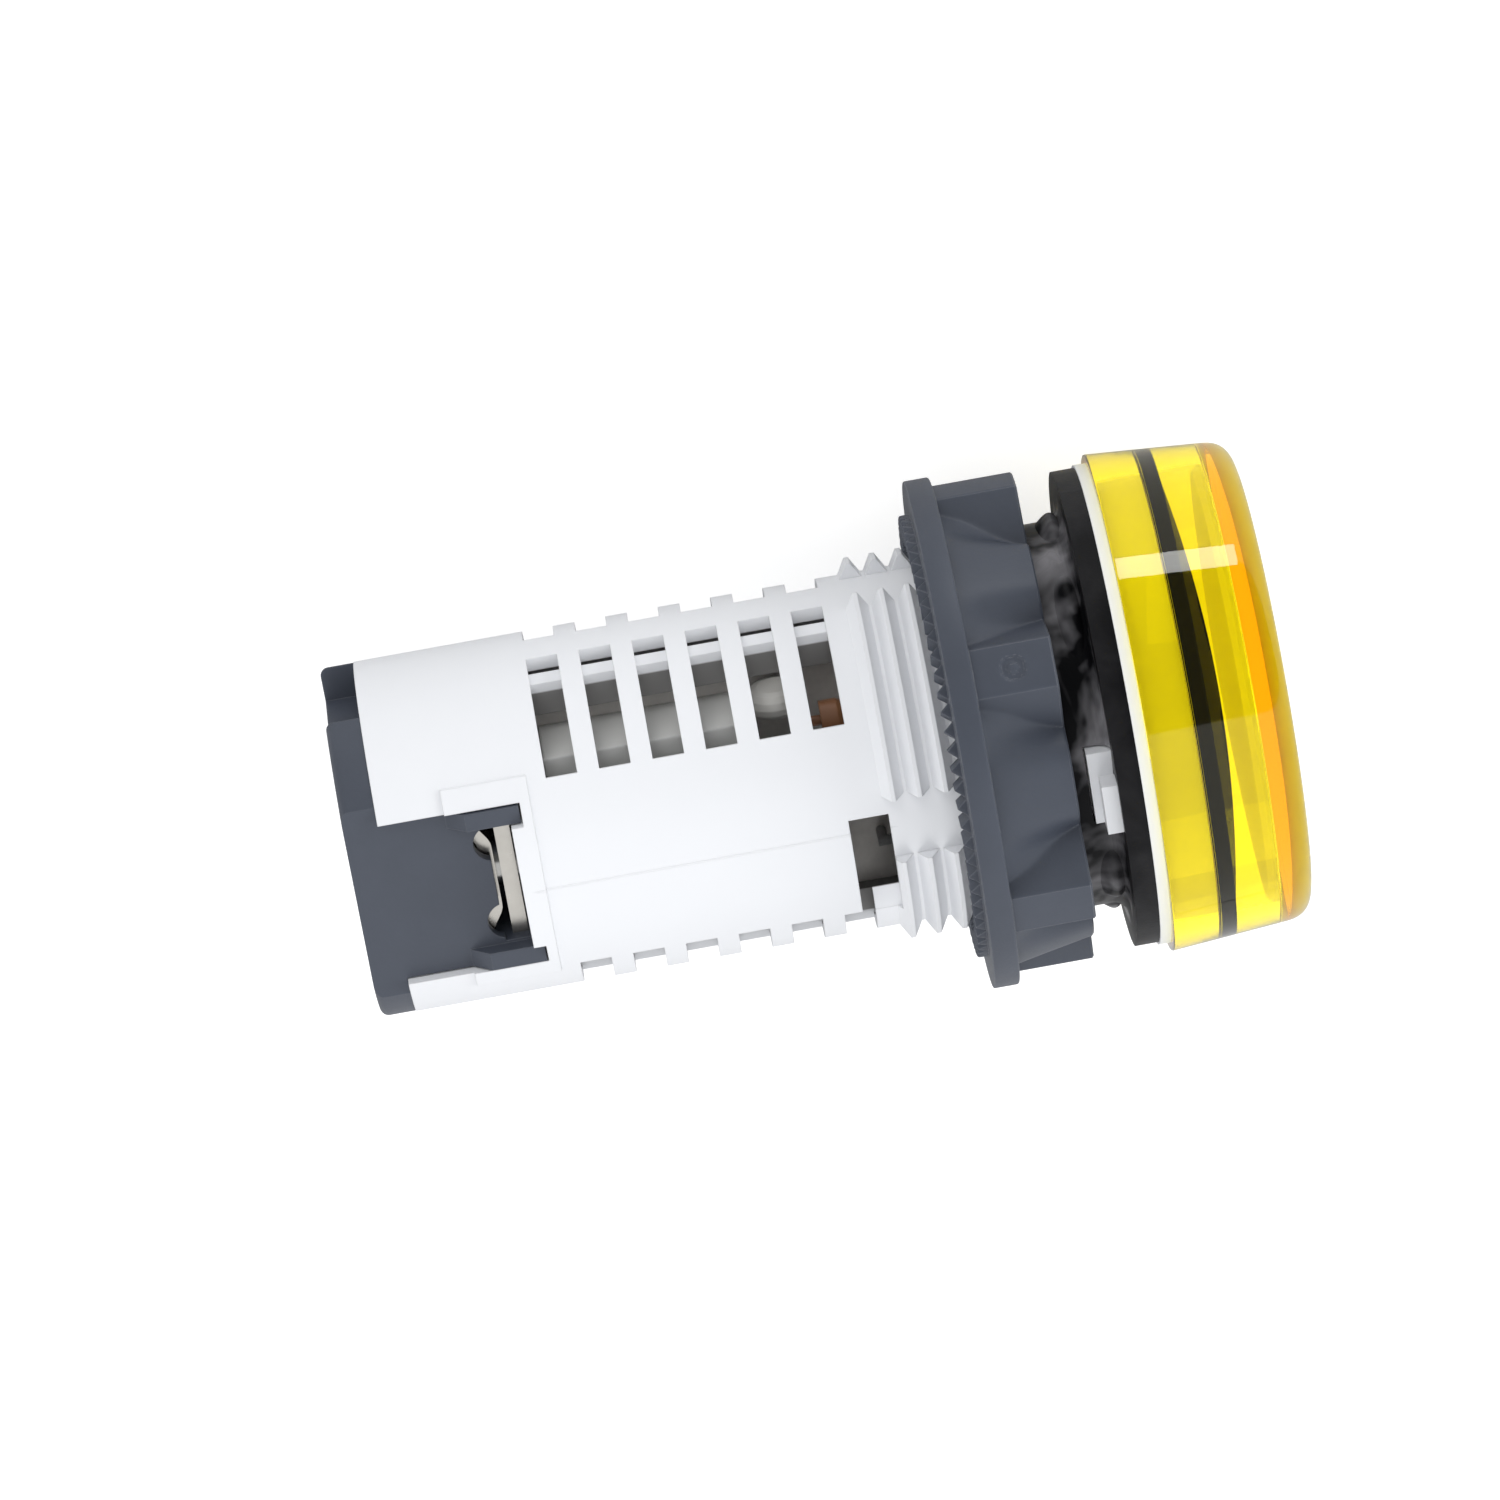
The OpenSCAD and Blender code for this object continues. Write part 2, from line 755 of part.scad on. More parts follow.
module disc_capacitor() {
    disc_r = 1.8;
    half_t = 0.8;
    color("ivory")
        in_panel()
            translate([capacitor_half_w, board_top + disc_r, capacitor_front + piece_gap + disc_r])
                rotate([0, 90, 0])
                    rotate_extrude($fn = small_fn)
                        polygon(concat(
                            [[0, -half_t]],
                            arc(disc_r - half_t, 0, half_t, -90, 90, 6),
                            [[0, half_t]]
                        ));
}

module rectifier() {
    case_w = 4.4;
    case_h = 2.4;
    case_x = -6;
    case_back = capacitor_front + piece_gap;
    color("dimgray")
        in_panel()
            bar(case_x, case_x + case_w, board_top, board_top + case_h, case_back, case_back + case_w);
}

// A resistor along the board, with its two leads bent down to it
module resistor(x, gap, rise) {
    lead_r = 0.3;
    body_r = 1.1;
    waist_r = 0.95;
    body_inset = 1.3;
    cap_len = 1;
    slope = 0.3;
    centre = board_top + rise;
    back = capacitor_front + gap;
    low = back + body_inset;
    high = back + resistor_len - body_inset;
    color("sienna")
        in_panel() {
            translate([x, centre, 0])
                rotate_extrude($fn = small_fn)
                    polygon([
                        [0, low], [body_r, low], [body_r, low + cap_len], [waist_r, low + cap_len + slope],
                        [waist_r, high - cap_len - slope], [body_r, high - cap_len], [body_r, high], [0, high]
                    ]);
            translate([x, centre, back])
                cylinder(r = lead_r, h = resistor_len, $fn = small_fn);
            for (end = [back + lead_r, back + resistor_len - lead_r])
                translate([x, centre, end])
                    rotate([90, 0, 0])
                        cylinder(r = lead_r, h = rise, $fn = small_fn);
        }
}

module board_pin(side) {
    color("silver")
        in_panel()
            translate([side * pin_x, board_top + pin_r, 0])
                tube_section(pin_r, pin_foot, ledge + lamp_board_t + pin_r);
}

lens();
diffuser();
lamp_mask();
lamp_board();
lamp(1);  // lamp_1
lamp(2);  // lamp_2
lamp(3);  // lamp_3
lamp(4);  // lamp_4
lamp(5);  // lamp_5
lamp(6);  // lamp_6
body_shell();
gasket();
lock_nut();
rear_cover();
in_panel() terminal_strip(board_top);  // terminal_strip_1
in_panel() rotate([0, 0, 180]) terminal_strip(-board_under);  // terminal_strip_2
in_panel() clamp_plate();  // clamp_plate_1
in_panel() rotate([0, 0, 180]) clamp_plate();  // clamp_plate_2
in_panel() clamp_screw();  // clamp_screw_1
in_panel() rotate([0, 0, 180]) clamp_screw();  // clamp_screw_2
main_board();
box_capacitor();
disc_capacitor();
rectifier();
resistor(resistor_1_x, resistor_1_gap, resistor_1_rise);  // resistor_1
resistor(resistor_2_x, resistor_2_gap, resistor_2_rise);  // resistor_2
board_pin(-1);  // board_pin_1
board_pin(1);  // board_pin_2
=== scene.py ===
import math

import bmesh
import bpy
import numpy as np
from mathutils import Matrix, Vector


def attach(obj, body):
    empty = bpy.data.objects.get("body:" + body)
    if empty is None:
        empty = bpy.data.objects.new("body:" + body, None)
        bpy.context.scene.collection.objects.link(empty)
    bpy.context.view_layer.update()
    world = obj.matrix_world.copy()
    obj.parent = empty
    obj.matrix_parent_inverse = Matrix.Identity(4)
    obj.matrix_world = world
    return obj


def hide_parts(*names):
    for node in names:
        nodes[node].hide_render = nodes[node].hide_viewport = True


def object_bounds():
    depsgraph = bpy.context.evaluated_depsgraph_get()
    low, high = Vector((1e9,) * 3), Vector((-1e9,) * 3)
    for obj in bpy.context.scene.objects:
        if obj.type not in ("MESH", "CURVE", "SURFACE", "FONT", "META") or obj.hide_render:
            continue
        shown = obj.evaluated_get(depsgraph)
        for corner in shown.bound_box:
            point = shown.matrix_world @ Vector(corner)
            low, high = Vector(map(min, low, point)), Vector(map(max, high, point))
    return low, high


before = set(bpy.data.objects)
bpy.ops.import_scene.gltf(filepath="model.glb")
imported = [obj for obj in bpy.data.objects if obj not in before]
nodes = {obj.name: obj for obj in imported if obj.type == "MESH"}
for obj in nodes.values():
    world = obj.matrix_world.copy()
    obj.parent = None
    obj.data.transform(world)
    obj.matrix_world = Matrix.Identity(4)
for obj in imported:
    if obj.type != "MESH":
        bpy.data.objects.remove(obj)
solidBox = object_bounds()
mm = 0.001
weld = 1e-7   # m, points nearer to each other become one
fullTurn = 2 * math.pi
print("frame loaded:", len(nodes), "solids")

# camera, square to the light's axis but for half a degree, and rolled so that the lens points up a little
view = {
    "towardsCamera": (0.446, 0.0, 0.895),
    "imageUp": (0.895, 0.0, -0.446),
    "lensEndAway": 0.57,   # degrees
    "roll": 10.2,          # degrees
    "lookAt": (1.05, 19.8, -0.52),   # mm
    "distance": 498.0,     # mm
    "focal": 207.96,       # mm
    "filmWidth": 36.0,     # mm
    "clip": (0.02, 20.0),  # m, nearest and farthest
}


def viewAxes():
    # right, up and back of the camera: the lens's direction leans back a little, then the picture is rolled
    back = Vector(view["towardsCamera"]).normalized()
    side = Vector(view["imageUp"]).normalized()
    front = Vector((0, -1, 0))
    lean = math.radians(view["lensEndAway"])
    roll = math.radians(view["roll"])
    leanFront = front * math.cos(lean) + back * math.sin(lean)
    leanBack = back * math.cos(lean) - front * math.sin(lean)
    right = leanFront * math.cos(roll) - side * math.sin(roll)
    up = leanFront * math.sin(roll) + side * math.cos(roll)
    return right, up, leanBack


right, up, back = viewAxes()
cameraData = bpy.data.cameras.new("viewCamera")
cameraData.lens = view["focal"]
cameraData.sensor_width = view["filmWidth"]
cameraData.clip_start, cameraData.clip_end = view["clip"]
camera = bpy.data.objects.new("viewCamera", cameraData)
cameraTurn = Matrix((right, up, back)).transposed().to_4x4()
cameraPlace = (Vector(view["lookAt"]) + back * view["distance"]) * mm
camera.matrix_world = Matrix.Translation(cameraPlace) @ cameraTurn
bpy.context.scene.collection.objects.link(camera)
bpy.context.scene.camera = camera
bpy.context.scene.view_settings.view_transform = "Standard"


# helpers for shapes: lengths in mm here, the mesh is in metres
def aroundAxis(radius, angle, along):
    # x = -radius sin(angle), y = -along, z = radius cos(angle):
    # the angle starts at the key, and along grows towards the lens
    radius, angle, along = np.broadcast_arrays(radius, angle, along)
    return np.stack([-radius * np.sin(angle), -along, radius * np.cos(angle)], axis=-1)


def gridFaces(rows, columns, closeRows=False, closeColumns=False):
    # the four corner numbers of every cell of a grid, whose last row or column may join the first
    row, column = np.meshgrid(np.arange(rows - (not closeRows)), np.arange(columns - (not closeColumns)),
                              indexing="ij")
    rowNext, columnNext = (row + 1) % rows, (column + 1) % columns
    corners = [row * columns + column, rowNext * columns + column,
               rowNext * columns + columnNext, row * columns + columnNext]
    return np.stack(corners, axis=-1).reshape(-1, 4)


def joined(parts):
    # several (points, faces) in one, with the face numbers moved up past the points before them
    starts = np.cumsum([0] + [len(points) for points, faces in parts[:-1]])
    return (np.concatenate([points for points, faces in parts]),
            np.concatenate([faces + start for start, (points, faces) in zip(starts, parts)]))


def softCorners(corners, cuts, steps, longest=0.45):
    # each corner of a closed outline becomes a quadratic curve that starts and ends one cut away from it;
    # longest is the largest share of a side that a cut may take
    corners = np.asarray(corners, float)
    cuts = np.broadcast_to(np.asarray(cuts, float), len(corners))
    before, after = np.roll(corners, 1, 0) - corners, np.roll(corners, -1, 0) - corners
    lengthBefore, lengthAfter = np.linalg.norm(before, axis=1), np.linalg.norm(after, axis=1)
    cutBefore = np.minimum(cuts, longest * lengthBefore) / lengthBefore
    cutAfter = np.minimum(cuts, longest * lengthAfter) / lengthAfter
    t = np.linspace(0, 1, steps + 1)[None, :, None]
    start = (corners + before * cutBefore[:, None])[:, None]
    end = (corners + after * cutAfter[:, None])[:, None]
    return (start * (1 - t) ** 2 + 2 * corners[:, None] * t * (1 - t) + end * t ** 2).reshape(-1, 2)


def turned(outline, steps):
    # a closed outline of (radius, along) carried round the axis
    outline = np.asarray(outline, float)
    angle = np.linspace(0, fullTurn, steps, endpoint=False)[:, None]
    points = aroundAxis(outline[None, :, 0], angle, outline[None, :, 1])
    return points.reshape(-1, 3), gridFaces(steps, len(outline), True, True)


def makePiece(name, parts, body, material, replaces=(), sharp=30, wall=0.0):
    # puts (points, faces) into a mesh in metres, welds it, drops loose edges, turns every shell outwards and
    # dresses it; edges that turn by more degrees than sharp stay sharp; a sheet gets its wall on the inside
    points, faces = joined(parts) if isinstance(parts, list) else parts
    mesh = bpy.data.meshes.new(name)
    mesh.vertices.add(len(points))
    mesh.vertices.foreach_set("co", (points * mm).astype(np.float32).ravel())
    mesh.loops.add(faces.size)
    mesh.loops.foreach_set("vertex_index", faces.astype(np.int32).ravel())
    mesh.polygons.add(len(faces))
    mesh.polygons.foreach_set("loop_start", np.arange(0, faces.size, 4, dtype=np.int32))
    mesh.update(calc_edges=True)
    shell = bmesh.new()
    shell.from_mesh(mesh)
    bmesh.ops.remove_doubles(shell, verts=shell.verts, dist=weld)
    bmesh.ops.delete(shell, geom=[edge for edge in shell.edges if not edge.link_faces], context="EDGES")
    bmesh.ops.recalc_face_normals(shell, faces=shell.faces)
    shell.to_mesh(mesh)
    shell.free()
    mesh.polygons.foreach_set("use_smooth", np.ones(len(mesh.polygons), bool))
    mesh.set_sharp_from_angle(angle=math.radians(sharp))
    piece = bpy.data.objects.new(name, mesh)
    bpy.context.scene.collection.objects.link(piece)
    mesh.materials.append(material)
    if wall:
        thickness = piece.modifiers.new("wall", "SOLIDIFY")
        thickness.thickness = wall * mm
        thickness.offset = -1.0
    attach(piece, body)
    if replaces:
        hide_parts(*replaces)
    return piece


# helpers for materials
def addNode(tree, kind, **values):
    # a new node, with values for its sockets or, where no socket has that name, for its settings
    node = tree.nodes.new(kind)
    for name, value in values.items():
        if name in node.inputs:
            node.inputs[name].default_value = value
        else:
            setattr(node, name, value)
    return node


def makeGroup(name, inputs, outputs):
    # an empty shader group with number, colour or vector sockets
    kinds = {"number": "NodeSocketFloat", "colour": "NodeSocketColor", "vector": "NodeSocketVector"}
    group = bpy.data.node_groups.new(name, "ShaderNodeTree")
    for label, kind, value in inputs:
        socket = group.interface.new_socket(name=label, in_out="INPUT", socket_type=kinds[kind])
        socket.default_value = value
    for label, kind in outputs:
        group.interface.new_socket(name=label, in_out="OUTPUT", socket_type=kinds[kind])
    return group, group.nodes.new("NodeGroupInput"), group.nodes.new("NodeGroupOutput")


mouldedLook = {
    "tintDetail": 4.0, "grainDetail": 3.0, "grainHeight": 0.00003,   # m
    "grainDullness": 0.12,   # roughness that the grain adds
    "edgeFrom": 0.99, "edgeFull": 0.75, "edgeSamples": 4,   # cosines between the true and the rounded normal
}


def mouldedGroup():
    # moulded plastic: a faint cloudy tint, fine spark-eroded grain, and rounded edges in an edge colour of their
    # own, which stands for wear and also for a painted highlight where light catches an edge
    s = mouldedLook
    group, given, result = makeGroup(
        "mouldedSkin",
        [("Colour", "colour", (0.5, 0.5, 0.5, 1)), ("Edge Wear And Highlight", "colour", (0.6, 0.6, 0.6, 1)),
         ("Tint", "number", 0.1), ("Tint Scale", "number", 300.0), ("Roughness", "number", 0.4),
         ("Grain Scale", "number", 8000.0), ("Grain", "number", 0.1), ("Edge", "number", 0.0001)],
        [("Colour", "colour"), ("Roughness", "number"), ("Normal", "vector")])
    link = group.links.new
    where = addNode(group, "ShaderNodeTexCoord")
    clouds = addNode(group, "ShaderNodeTexNoise", Detail=s["tintDetail"], Roughness=0.6)
    link(where.outputs["Object"], clouds.inputs["Vector"])
    link(given.outputs["Tint Scale"], clouds.inputs["Scale"])
    centred = addNode(group, "ShaderNodeMath", operation="SUBTRACT")
    centred.inputs[1].default_value = 0.5
    link(clouds.outputs["Fac"], centred.inputs[0])
    amount = addNode(group, "ShaderNodeMath", operation="MULTIPLY_ADD")
    amount.inputs[2].default_value = 1.0
    link(centred.outputs[0], amount.inputs[0])
    link(given.outputs["Tint"], amount.inputs[1])
    tinted = addNode(group, "ShaderNodeVectorMath", operation="SCALE")
    link(given.outputs["Colour"], tinted.inputs[0])
    link(amount.outputs[0], tinted.inputs["Scale"])
    grain = addNode(group, "ShaderNodeTexNoise", Detail=s["grainDetail"], Roughness=0.7)
    link(where.outputs["Object"], grain.inputs["Vector"])
    link(given.outputs["Grain Scale"], grain.inputs["Scale"])
    soft = addNode(group, "ShaderNodeBevel")
    soft.samples = s["edgeSamples"]
    link(given.outputs["Edge"], soft.inputs["Radius"])
    true = addNode(group, "ShaderNodeNewGeometry")
    same = addNode(group, "ShaderNodeVectorMath", operation="DOT_PRODUCT")
    link(soft.outputs["Normal"], same.inputs[0])
    link(true.outputs["Normal"], same.inputs[1])
    edge = addNode(group, "ShaderNodeMapRange")
    edge.inputs["From Min"].default_value = s["edgeFrom"]
    edge.inputs["From Max"].default_value = s["edgeFull"]
    link(same.outputs["Value"], edge.inputs["Value"])
    # the edge colour is edge wear and, where it is set lighter, a painted highlight along the edges
    edgeWearAndHighlight = addNode(group, "ShaderNodeMix", data_type="RGBA")
    link(edge.outputs["Result"], edgeWearAndHighlight.inputs["Factor"])
    link(tinted.outputs[0], edgeWearAndHighlight.inputs["A"])
    link(given.outputs["Edge Wear And Highlight"], edgeWearAndHighlight.inputs["B"])
    bump = addNode(group, "ShaderNodeBump", Distance=s["grainHeight"])
    link(given.outputs["Grain"], bump.inputs["Strength"])
    link(grain.outputs["Fac"], bump.inputs["Height"])
    link(soft.outputs["Normal"], bump.inputs["Normal"])
    rough = addNode(group, "ShaderNodeMath", operation="MULTIPLY_ADD")
    rough.inputs[1].default_value = s["grainDullness"]
    link(grain.outputs["Fac"], rough.inputs[0])
    link(given.outputs["Roughness"], rough.inputs[2])
    link(edgeWearAndHighlight.outputs["Result"], result.inputs["Colour"])
    link(rough.outputs[0], result.inputs["Roughness"])
    link(bump.outputs["Normal"], result.inputs["Normal"])
    return group


mouldedSkin = mouldedGroup()


def linkMix(tree, factor, first, second):
    # a blend of two colours, each a fixed one or a socket
    mix = addNode(tree, "ShaderNodeMix", data_type="RGBA")
    tree.links.new(factor, mix.inputs["Factor"])
    for value, socket in ((first, "A"), (second, "B")):
        if isinstance(value, tuple):
            mix.inputs[socket].default_value = value
        else:
            tree.links.new(value, mix.inputs[socket])
    return mix.outputs["Result"]


def newMaterial(name):
    # a material whose main shader feeds its output
    material = bpy.data.materials.new(name)
    material.use_nodes = True
    tree = material.node_tree
    tree.nodes.clear()
    shader = addNode(tree, "ShaderNodeBsdfPrincipled")
    output = addNode(tree, "ShaderNodeOutputMaterial")
    tree.links.new(shader.outputs[0], output.inputs["Surface"])
    return material, tree, shader, output


def mouldedMaterial(name, colour, edgeWearAndHighlightColour, specular=0.5, **skinValues):
    # the moulded skin gives the main shader its colour, roughness and normal
    material, tree, shader, output = newMaterial(name)
    skin = addNode(tree, "ShaderNodeGroup")
    skin.node_tree = mouldedSkin
    skin.inputs["Colour"].default_value = (*colour, 1)
    skin.inputs["Edge Wear And Highlight"].default_value = (*edgeWearAndHighlightColour, 1)
    for label, value in skinValues.items():
        skin.inputs[label.replace("_", " ")].default_value = value
    tree.links.new(skin.outputs["Colour"], shader.inputs["Base Color"])
    tree.links.new(skin.outputs["Roughness"], shader.inputs["Roughness"])
    tree.links.new(skin.outputs["Normal"], shader.inputs["Normal"])
    shader.inputs["Specular IOR Level"].default_value = specular
    return material


def product(tree, first, second):
    # one value or mask times another
    node = addNode(tree, "ShaderNodeMath", operation="MULTIPLY")
    tree.links.new(first, node.inputs[0])
    tree.links.new(second, node.inputs[1])
    return node.outputs[0]


def between(tree, value, low, high, soft):
    # 1 where the value lies between two limits, with soft ends; all in mm
    masks = []
    for edge, direction in ((low, 1), (high, -1)):
        ramp = addNode(tree, "ShaderNodeMapRange")
        ramp.inputs["From Min"].default_value = (edge - direction * soft) * mm
        ramp.inputs["From Max"].default_value = (edge + direction * soft) * mm
        tree.links.new(value, ramp.inputs["Value"])
        masks.append(ramp.outputs["Result"])
    return product(tree, *masks)


bodySizes = {
    "boreRadius": 9.4, "railLow": 1.95, "railHigh": 2.95, "railFrom": 8.7, "blend": 0.02,   # mm
    "seamFrom": 12.6, "seamTo": 33.2, "seamHalf": 0.05, "seamAbove": 9.8,
    "past": 99,   # farther out than any point of the body
}


def bodyMasksGroup():
    # inside: the tube's bore and what stands in it, where shade is painted, without the outer half of the
    # board's guide rails;
    # seam: the fine parting line behind the key
    s = bodySizes
    group, given, result = makeGroup("bodyMasks", [], [("Inside", "number"), ("Seam", "number")])
    link = group.links.new
    where = addNode(group, "ShaderNodeTexCoord")
    apart = addNode(group, "ShaderNodeSeparateXYZ")
    link(where.outputs["Object"], apart.inputs[0])
    x, y, z = apart.outputs
    flat = addNode(group, "ShaderNodeVectorMath", operation="MULTIPLY")
    flat.inputs[1].default_value = (1, 0, 1)
    link(where.outputs["Object"], flat.inputs[0])
    radius = addNode(group, "ShaderNodeVectorMath", operation="LENGTH")
    link(flat.outputs[0], radius.inputs[0])
    absX, absZ = (addNode(group, "ShaderNodeMath", operation="ABSOLUTE") for i in range(2))
    link(x, absX.inputs[0])
    link(z, absZ.inputs[0])
    onRail = product(group, between(group, absZ.outputs[0], s["railLow"], s["railHigh"], s["blend"]),
                     between(group, absX.outputs[0], s["railFrom"], s["past"], 0.05))
    notRail = addNode(group, "ShaderNodeMath", operation="SUBTRACT")
    notRail.inputs[0].default_value = 1.0
    link(onRail, notRail.inputs[1])
    inBore = between(group, radius.outputs["Value"], -1, s["boreRadius"] + s["blend"], s["blend"])
    link(product(group, inBore, notRail.outputs[0]), result.inputs["Inside"])
    line = product(group, between(group, x, -s["seamHalf"], s["seamHalf"], s["seamHalf"]),
                   between(group, y, s["seamFrom"], s["seamTo"], 0.2))
    link(product(group, line, between(group, z, s["seamAbove"], s["past"], 0.1)), result.inputs["Seam"])
    return group


bodyLook = {
    "colour": (0.8, 0.81, 0.83), "edge": (0.86, 0.86, 0.87),
    # painted shade: the tube's bore and its edges are painted dark grey, standing in for the shade inside the
    # tube
    "inside": (0.2, 0.195, 0.19, 1), "insideShadeEdge": (0.24, 0.235, 0.23, 1),
    "seamHeight": 0.00006, "seamStrength": 0.7,   # m
}


def bodyMaterial():
    # cool white moulded plastic with painted shade inside the tube, dark grey, and a raised parting line
    s = bodyLook
    material = mouldedMaterial("bodyPlastic", s["colour"], s["edge"], Tint=0.03, Tint_Scale=140.0,
                               Roughness=0.38, Grain_Scale=4500.0, Grain=0.05, Edge=0.00008)
    tree = material.node_tree
    skin = next(node for node in tree.nodes if node.type == "GROUP")
    shader = next(node for node in tree.nodes if node.type == "BSDF_PRINCIPLED")
    masks = addNode(tree, "ShaderNodeGroup")
    masks.node_tree = bodyMasksGroup()
    # the inside mask paints the tube's shade over the skin's colour and its edge colour
    for label, inner in (("Colour", s["inside"]), ("Edge Wear And Highlight", s["insideShadeEdge"])):
        outer = tuple(skin.inputs[label].default_value)
        tree.links.new(linkMix(tree, masks.outputs["Inside"], outer, inner), skin.inputs[label])
    ridge = addNode(tree, "ShaderNodeBump", Distance=s["seamHeight"], Strength=s["seamStrength"])
    tree.links.new(masks.outputs["Seam"], ridge.inputs["Height"])
    tree.links.new(skin.outputs["Normal"], ridge.inputs["Normal"])
    tree.links.new(ridge.outputs["Normal"], shader.inputs["Normal"])
    return material


amberLook = {
    "surface": (1.0, 0.925, 0.04, 1), "roughness": 0.015, "bending": 1.49,
    "shadow": (0.93, 0.93, 0.93, 1), "depth": (0.9986, 0.957, 0.0, 1), "density": 700.0,
}


def amberMaterial():
    # clear plastic whose own depth gives the colour: yellow through the wall, orange along the front disc
    s = amberLook
    material, tree, shader, output = newMaterial("amberLens")
    shader.inputs["Base Color"].default_value = s["surface"]
    shader.inputs["Roughness"].default_value = s["roughness"]
    shader.inputs["IOR"].default_value = s["bending"]
    shader.inputs["Transmission Weight"].default_value = 1.0
    passing = addNode(tree, "ShaderNodeBsdfTransparent", Color=s["shadow"])
    rays = addNode(tree, "ShaderNodeLightPath")
    choose = addNode(tree, "ShaderNodeMixShader")
    tree.links.new(rays.outputs["Is Shadow Ray"], choose.inputs[0])
    tree.links.new(shader.outputs[0], choose.inputs[1])
    tree.links.new(passing.outputs[0], choose.inputs[2])
    tree.links.new(choose.outputs[0], output.inputs["Surface"])
    depth = addNode(tree, "ShaderNodeVolumeAbsorption", Color=s["depth"], Density=s["density"])
    tree.links.new(depth.outputs[0], output.inputs["Volume"])
    return material


metalLook = {
    "cloudScale": 900.0, "cloudShade": 0.75,   # share of the colour
    "shiny": 0.8, "dull": 1.3,   # shares of the roughness
    "lineScale": (600, 9000, 9000), "lineHeight": 0.00002, "lineStrength": 0.15,
}


def metalMaterial(name, colour, roughness):
    # tinned or plated metal: cloudy dullness and fine brushed lines
    s = metalLook
    material, tree, shader, output = newMaterial(name)
    where = addNode(tree, "ShaderNodeTexCoord")
    clouds = addNode(tree, "ShaderNodeTexNoise", Scale=s["cloudScale"], Detail=5.0)
    tree.links.new(where.outputs["Object"], clouds.inputs["Vector"])
    shade = tuple(part * s["cloudShade"] for part in colour)
    tone = linkMix(tree, clouds.outputs["Fac"], (*shade, 1), (*colour, 1))
    tree.links.new(tone, shader.inputs["Base Color"])
    dull = addNode(tree, "ShaderNodeMapRange")
    dull.inputs["To Min"].default_value = roughness * s["shiny"]
    dull.inputs["To Max"].default_value = roughness * s["dull"]
    tree.links.new(clouds.outputs["Fac"], dull.inputs["Value"])
    tree.links.new(dull.outputs["Result"], shader.inputs["Roughness"])
    stretch = addNode(tree, "ShaderNodeMapping")
    stretch.inputs["Scale"].default_value = s["lineScale"]
    tree.links.new(where.outputs["Object"], stretch.inputs["Vector"])
    lines = addNode(tree, "ShaderNodeTexNoise", Scale=1.0, Detail=2.0)
    tree.links.new(stretch.outputs["Vector"], lines.inputs["Vector"])
    bump = addNode(tree, "ShaderNodeBump", Distance=s["lineHeight"], Strength=s["lineStrength"])
    tree.links.new(lines.outputs["Fac"], bump.inputs["Height"])
    tree.links.new(bump.outputs["Normal"], shader.inputs["Normal"])
    shader.inputs["Metallic"].default_value = 1.0
    return material


opalLook = {"colour": (0.9, 0.88, 0.8, 1), "through": (0.98, 0.97, 0.93, 1), "share": 0.72}


def opalMaterial():
    # milky plastic: a share of the light that falls on it comes out at the other side
    s = opalLook
    material, tree, shader, output = newMaterial("opalPlastic")
    shader.inputs["Base Color"].default_value = s["colour"]
    shader.inputs["Roughness"].default_value = 0.4
    shader.inputs["Specular IOR Level"].default_value = 0.2
    through = addNode(tree, "ShaderNodeBsdfTranslucent", Color=s["through"])
    share = addNode(tree, "ShaderNodeMixShader")
    share.inputs[0].default_value = s["share"]
    tree.links.new(shader.outputs[0], share.inputs[1])
    tree.links.new(through.outputs[0], share.inputs[2])
    tree.links.new(share.outputs[0], output.inputs["Surface"])
    return material


rubberLook = {
    "flangeFrom": 12.6, "sleeveTo": 12.1, "sheenOnFlange": 0.04,   # mm, mm, share of the painted sheen left on the flange
    "clean": (0.004, 0.004, 0.005, 1), "paintedSheen": (0.26, 0.254, 0.268, 1),
    "sheenScale": 230.0, "sheenFrom": 0.42, "sheenFull": 0.66, "cleanRough": 0.45, "sheenRough": 0.25,
    "specular": 0.16, "grainScale": 5000.0, "grainHeight": 0.00004, "grainStrength": 0.25,
}


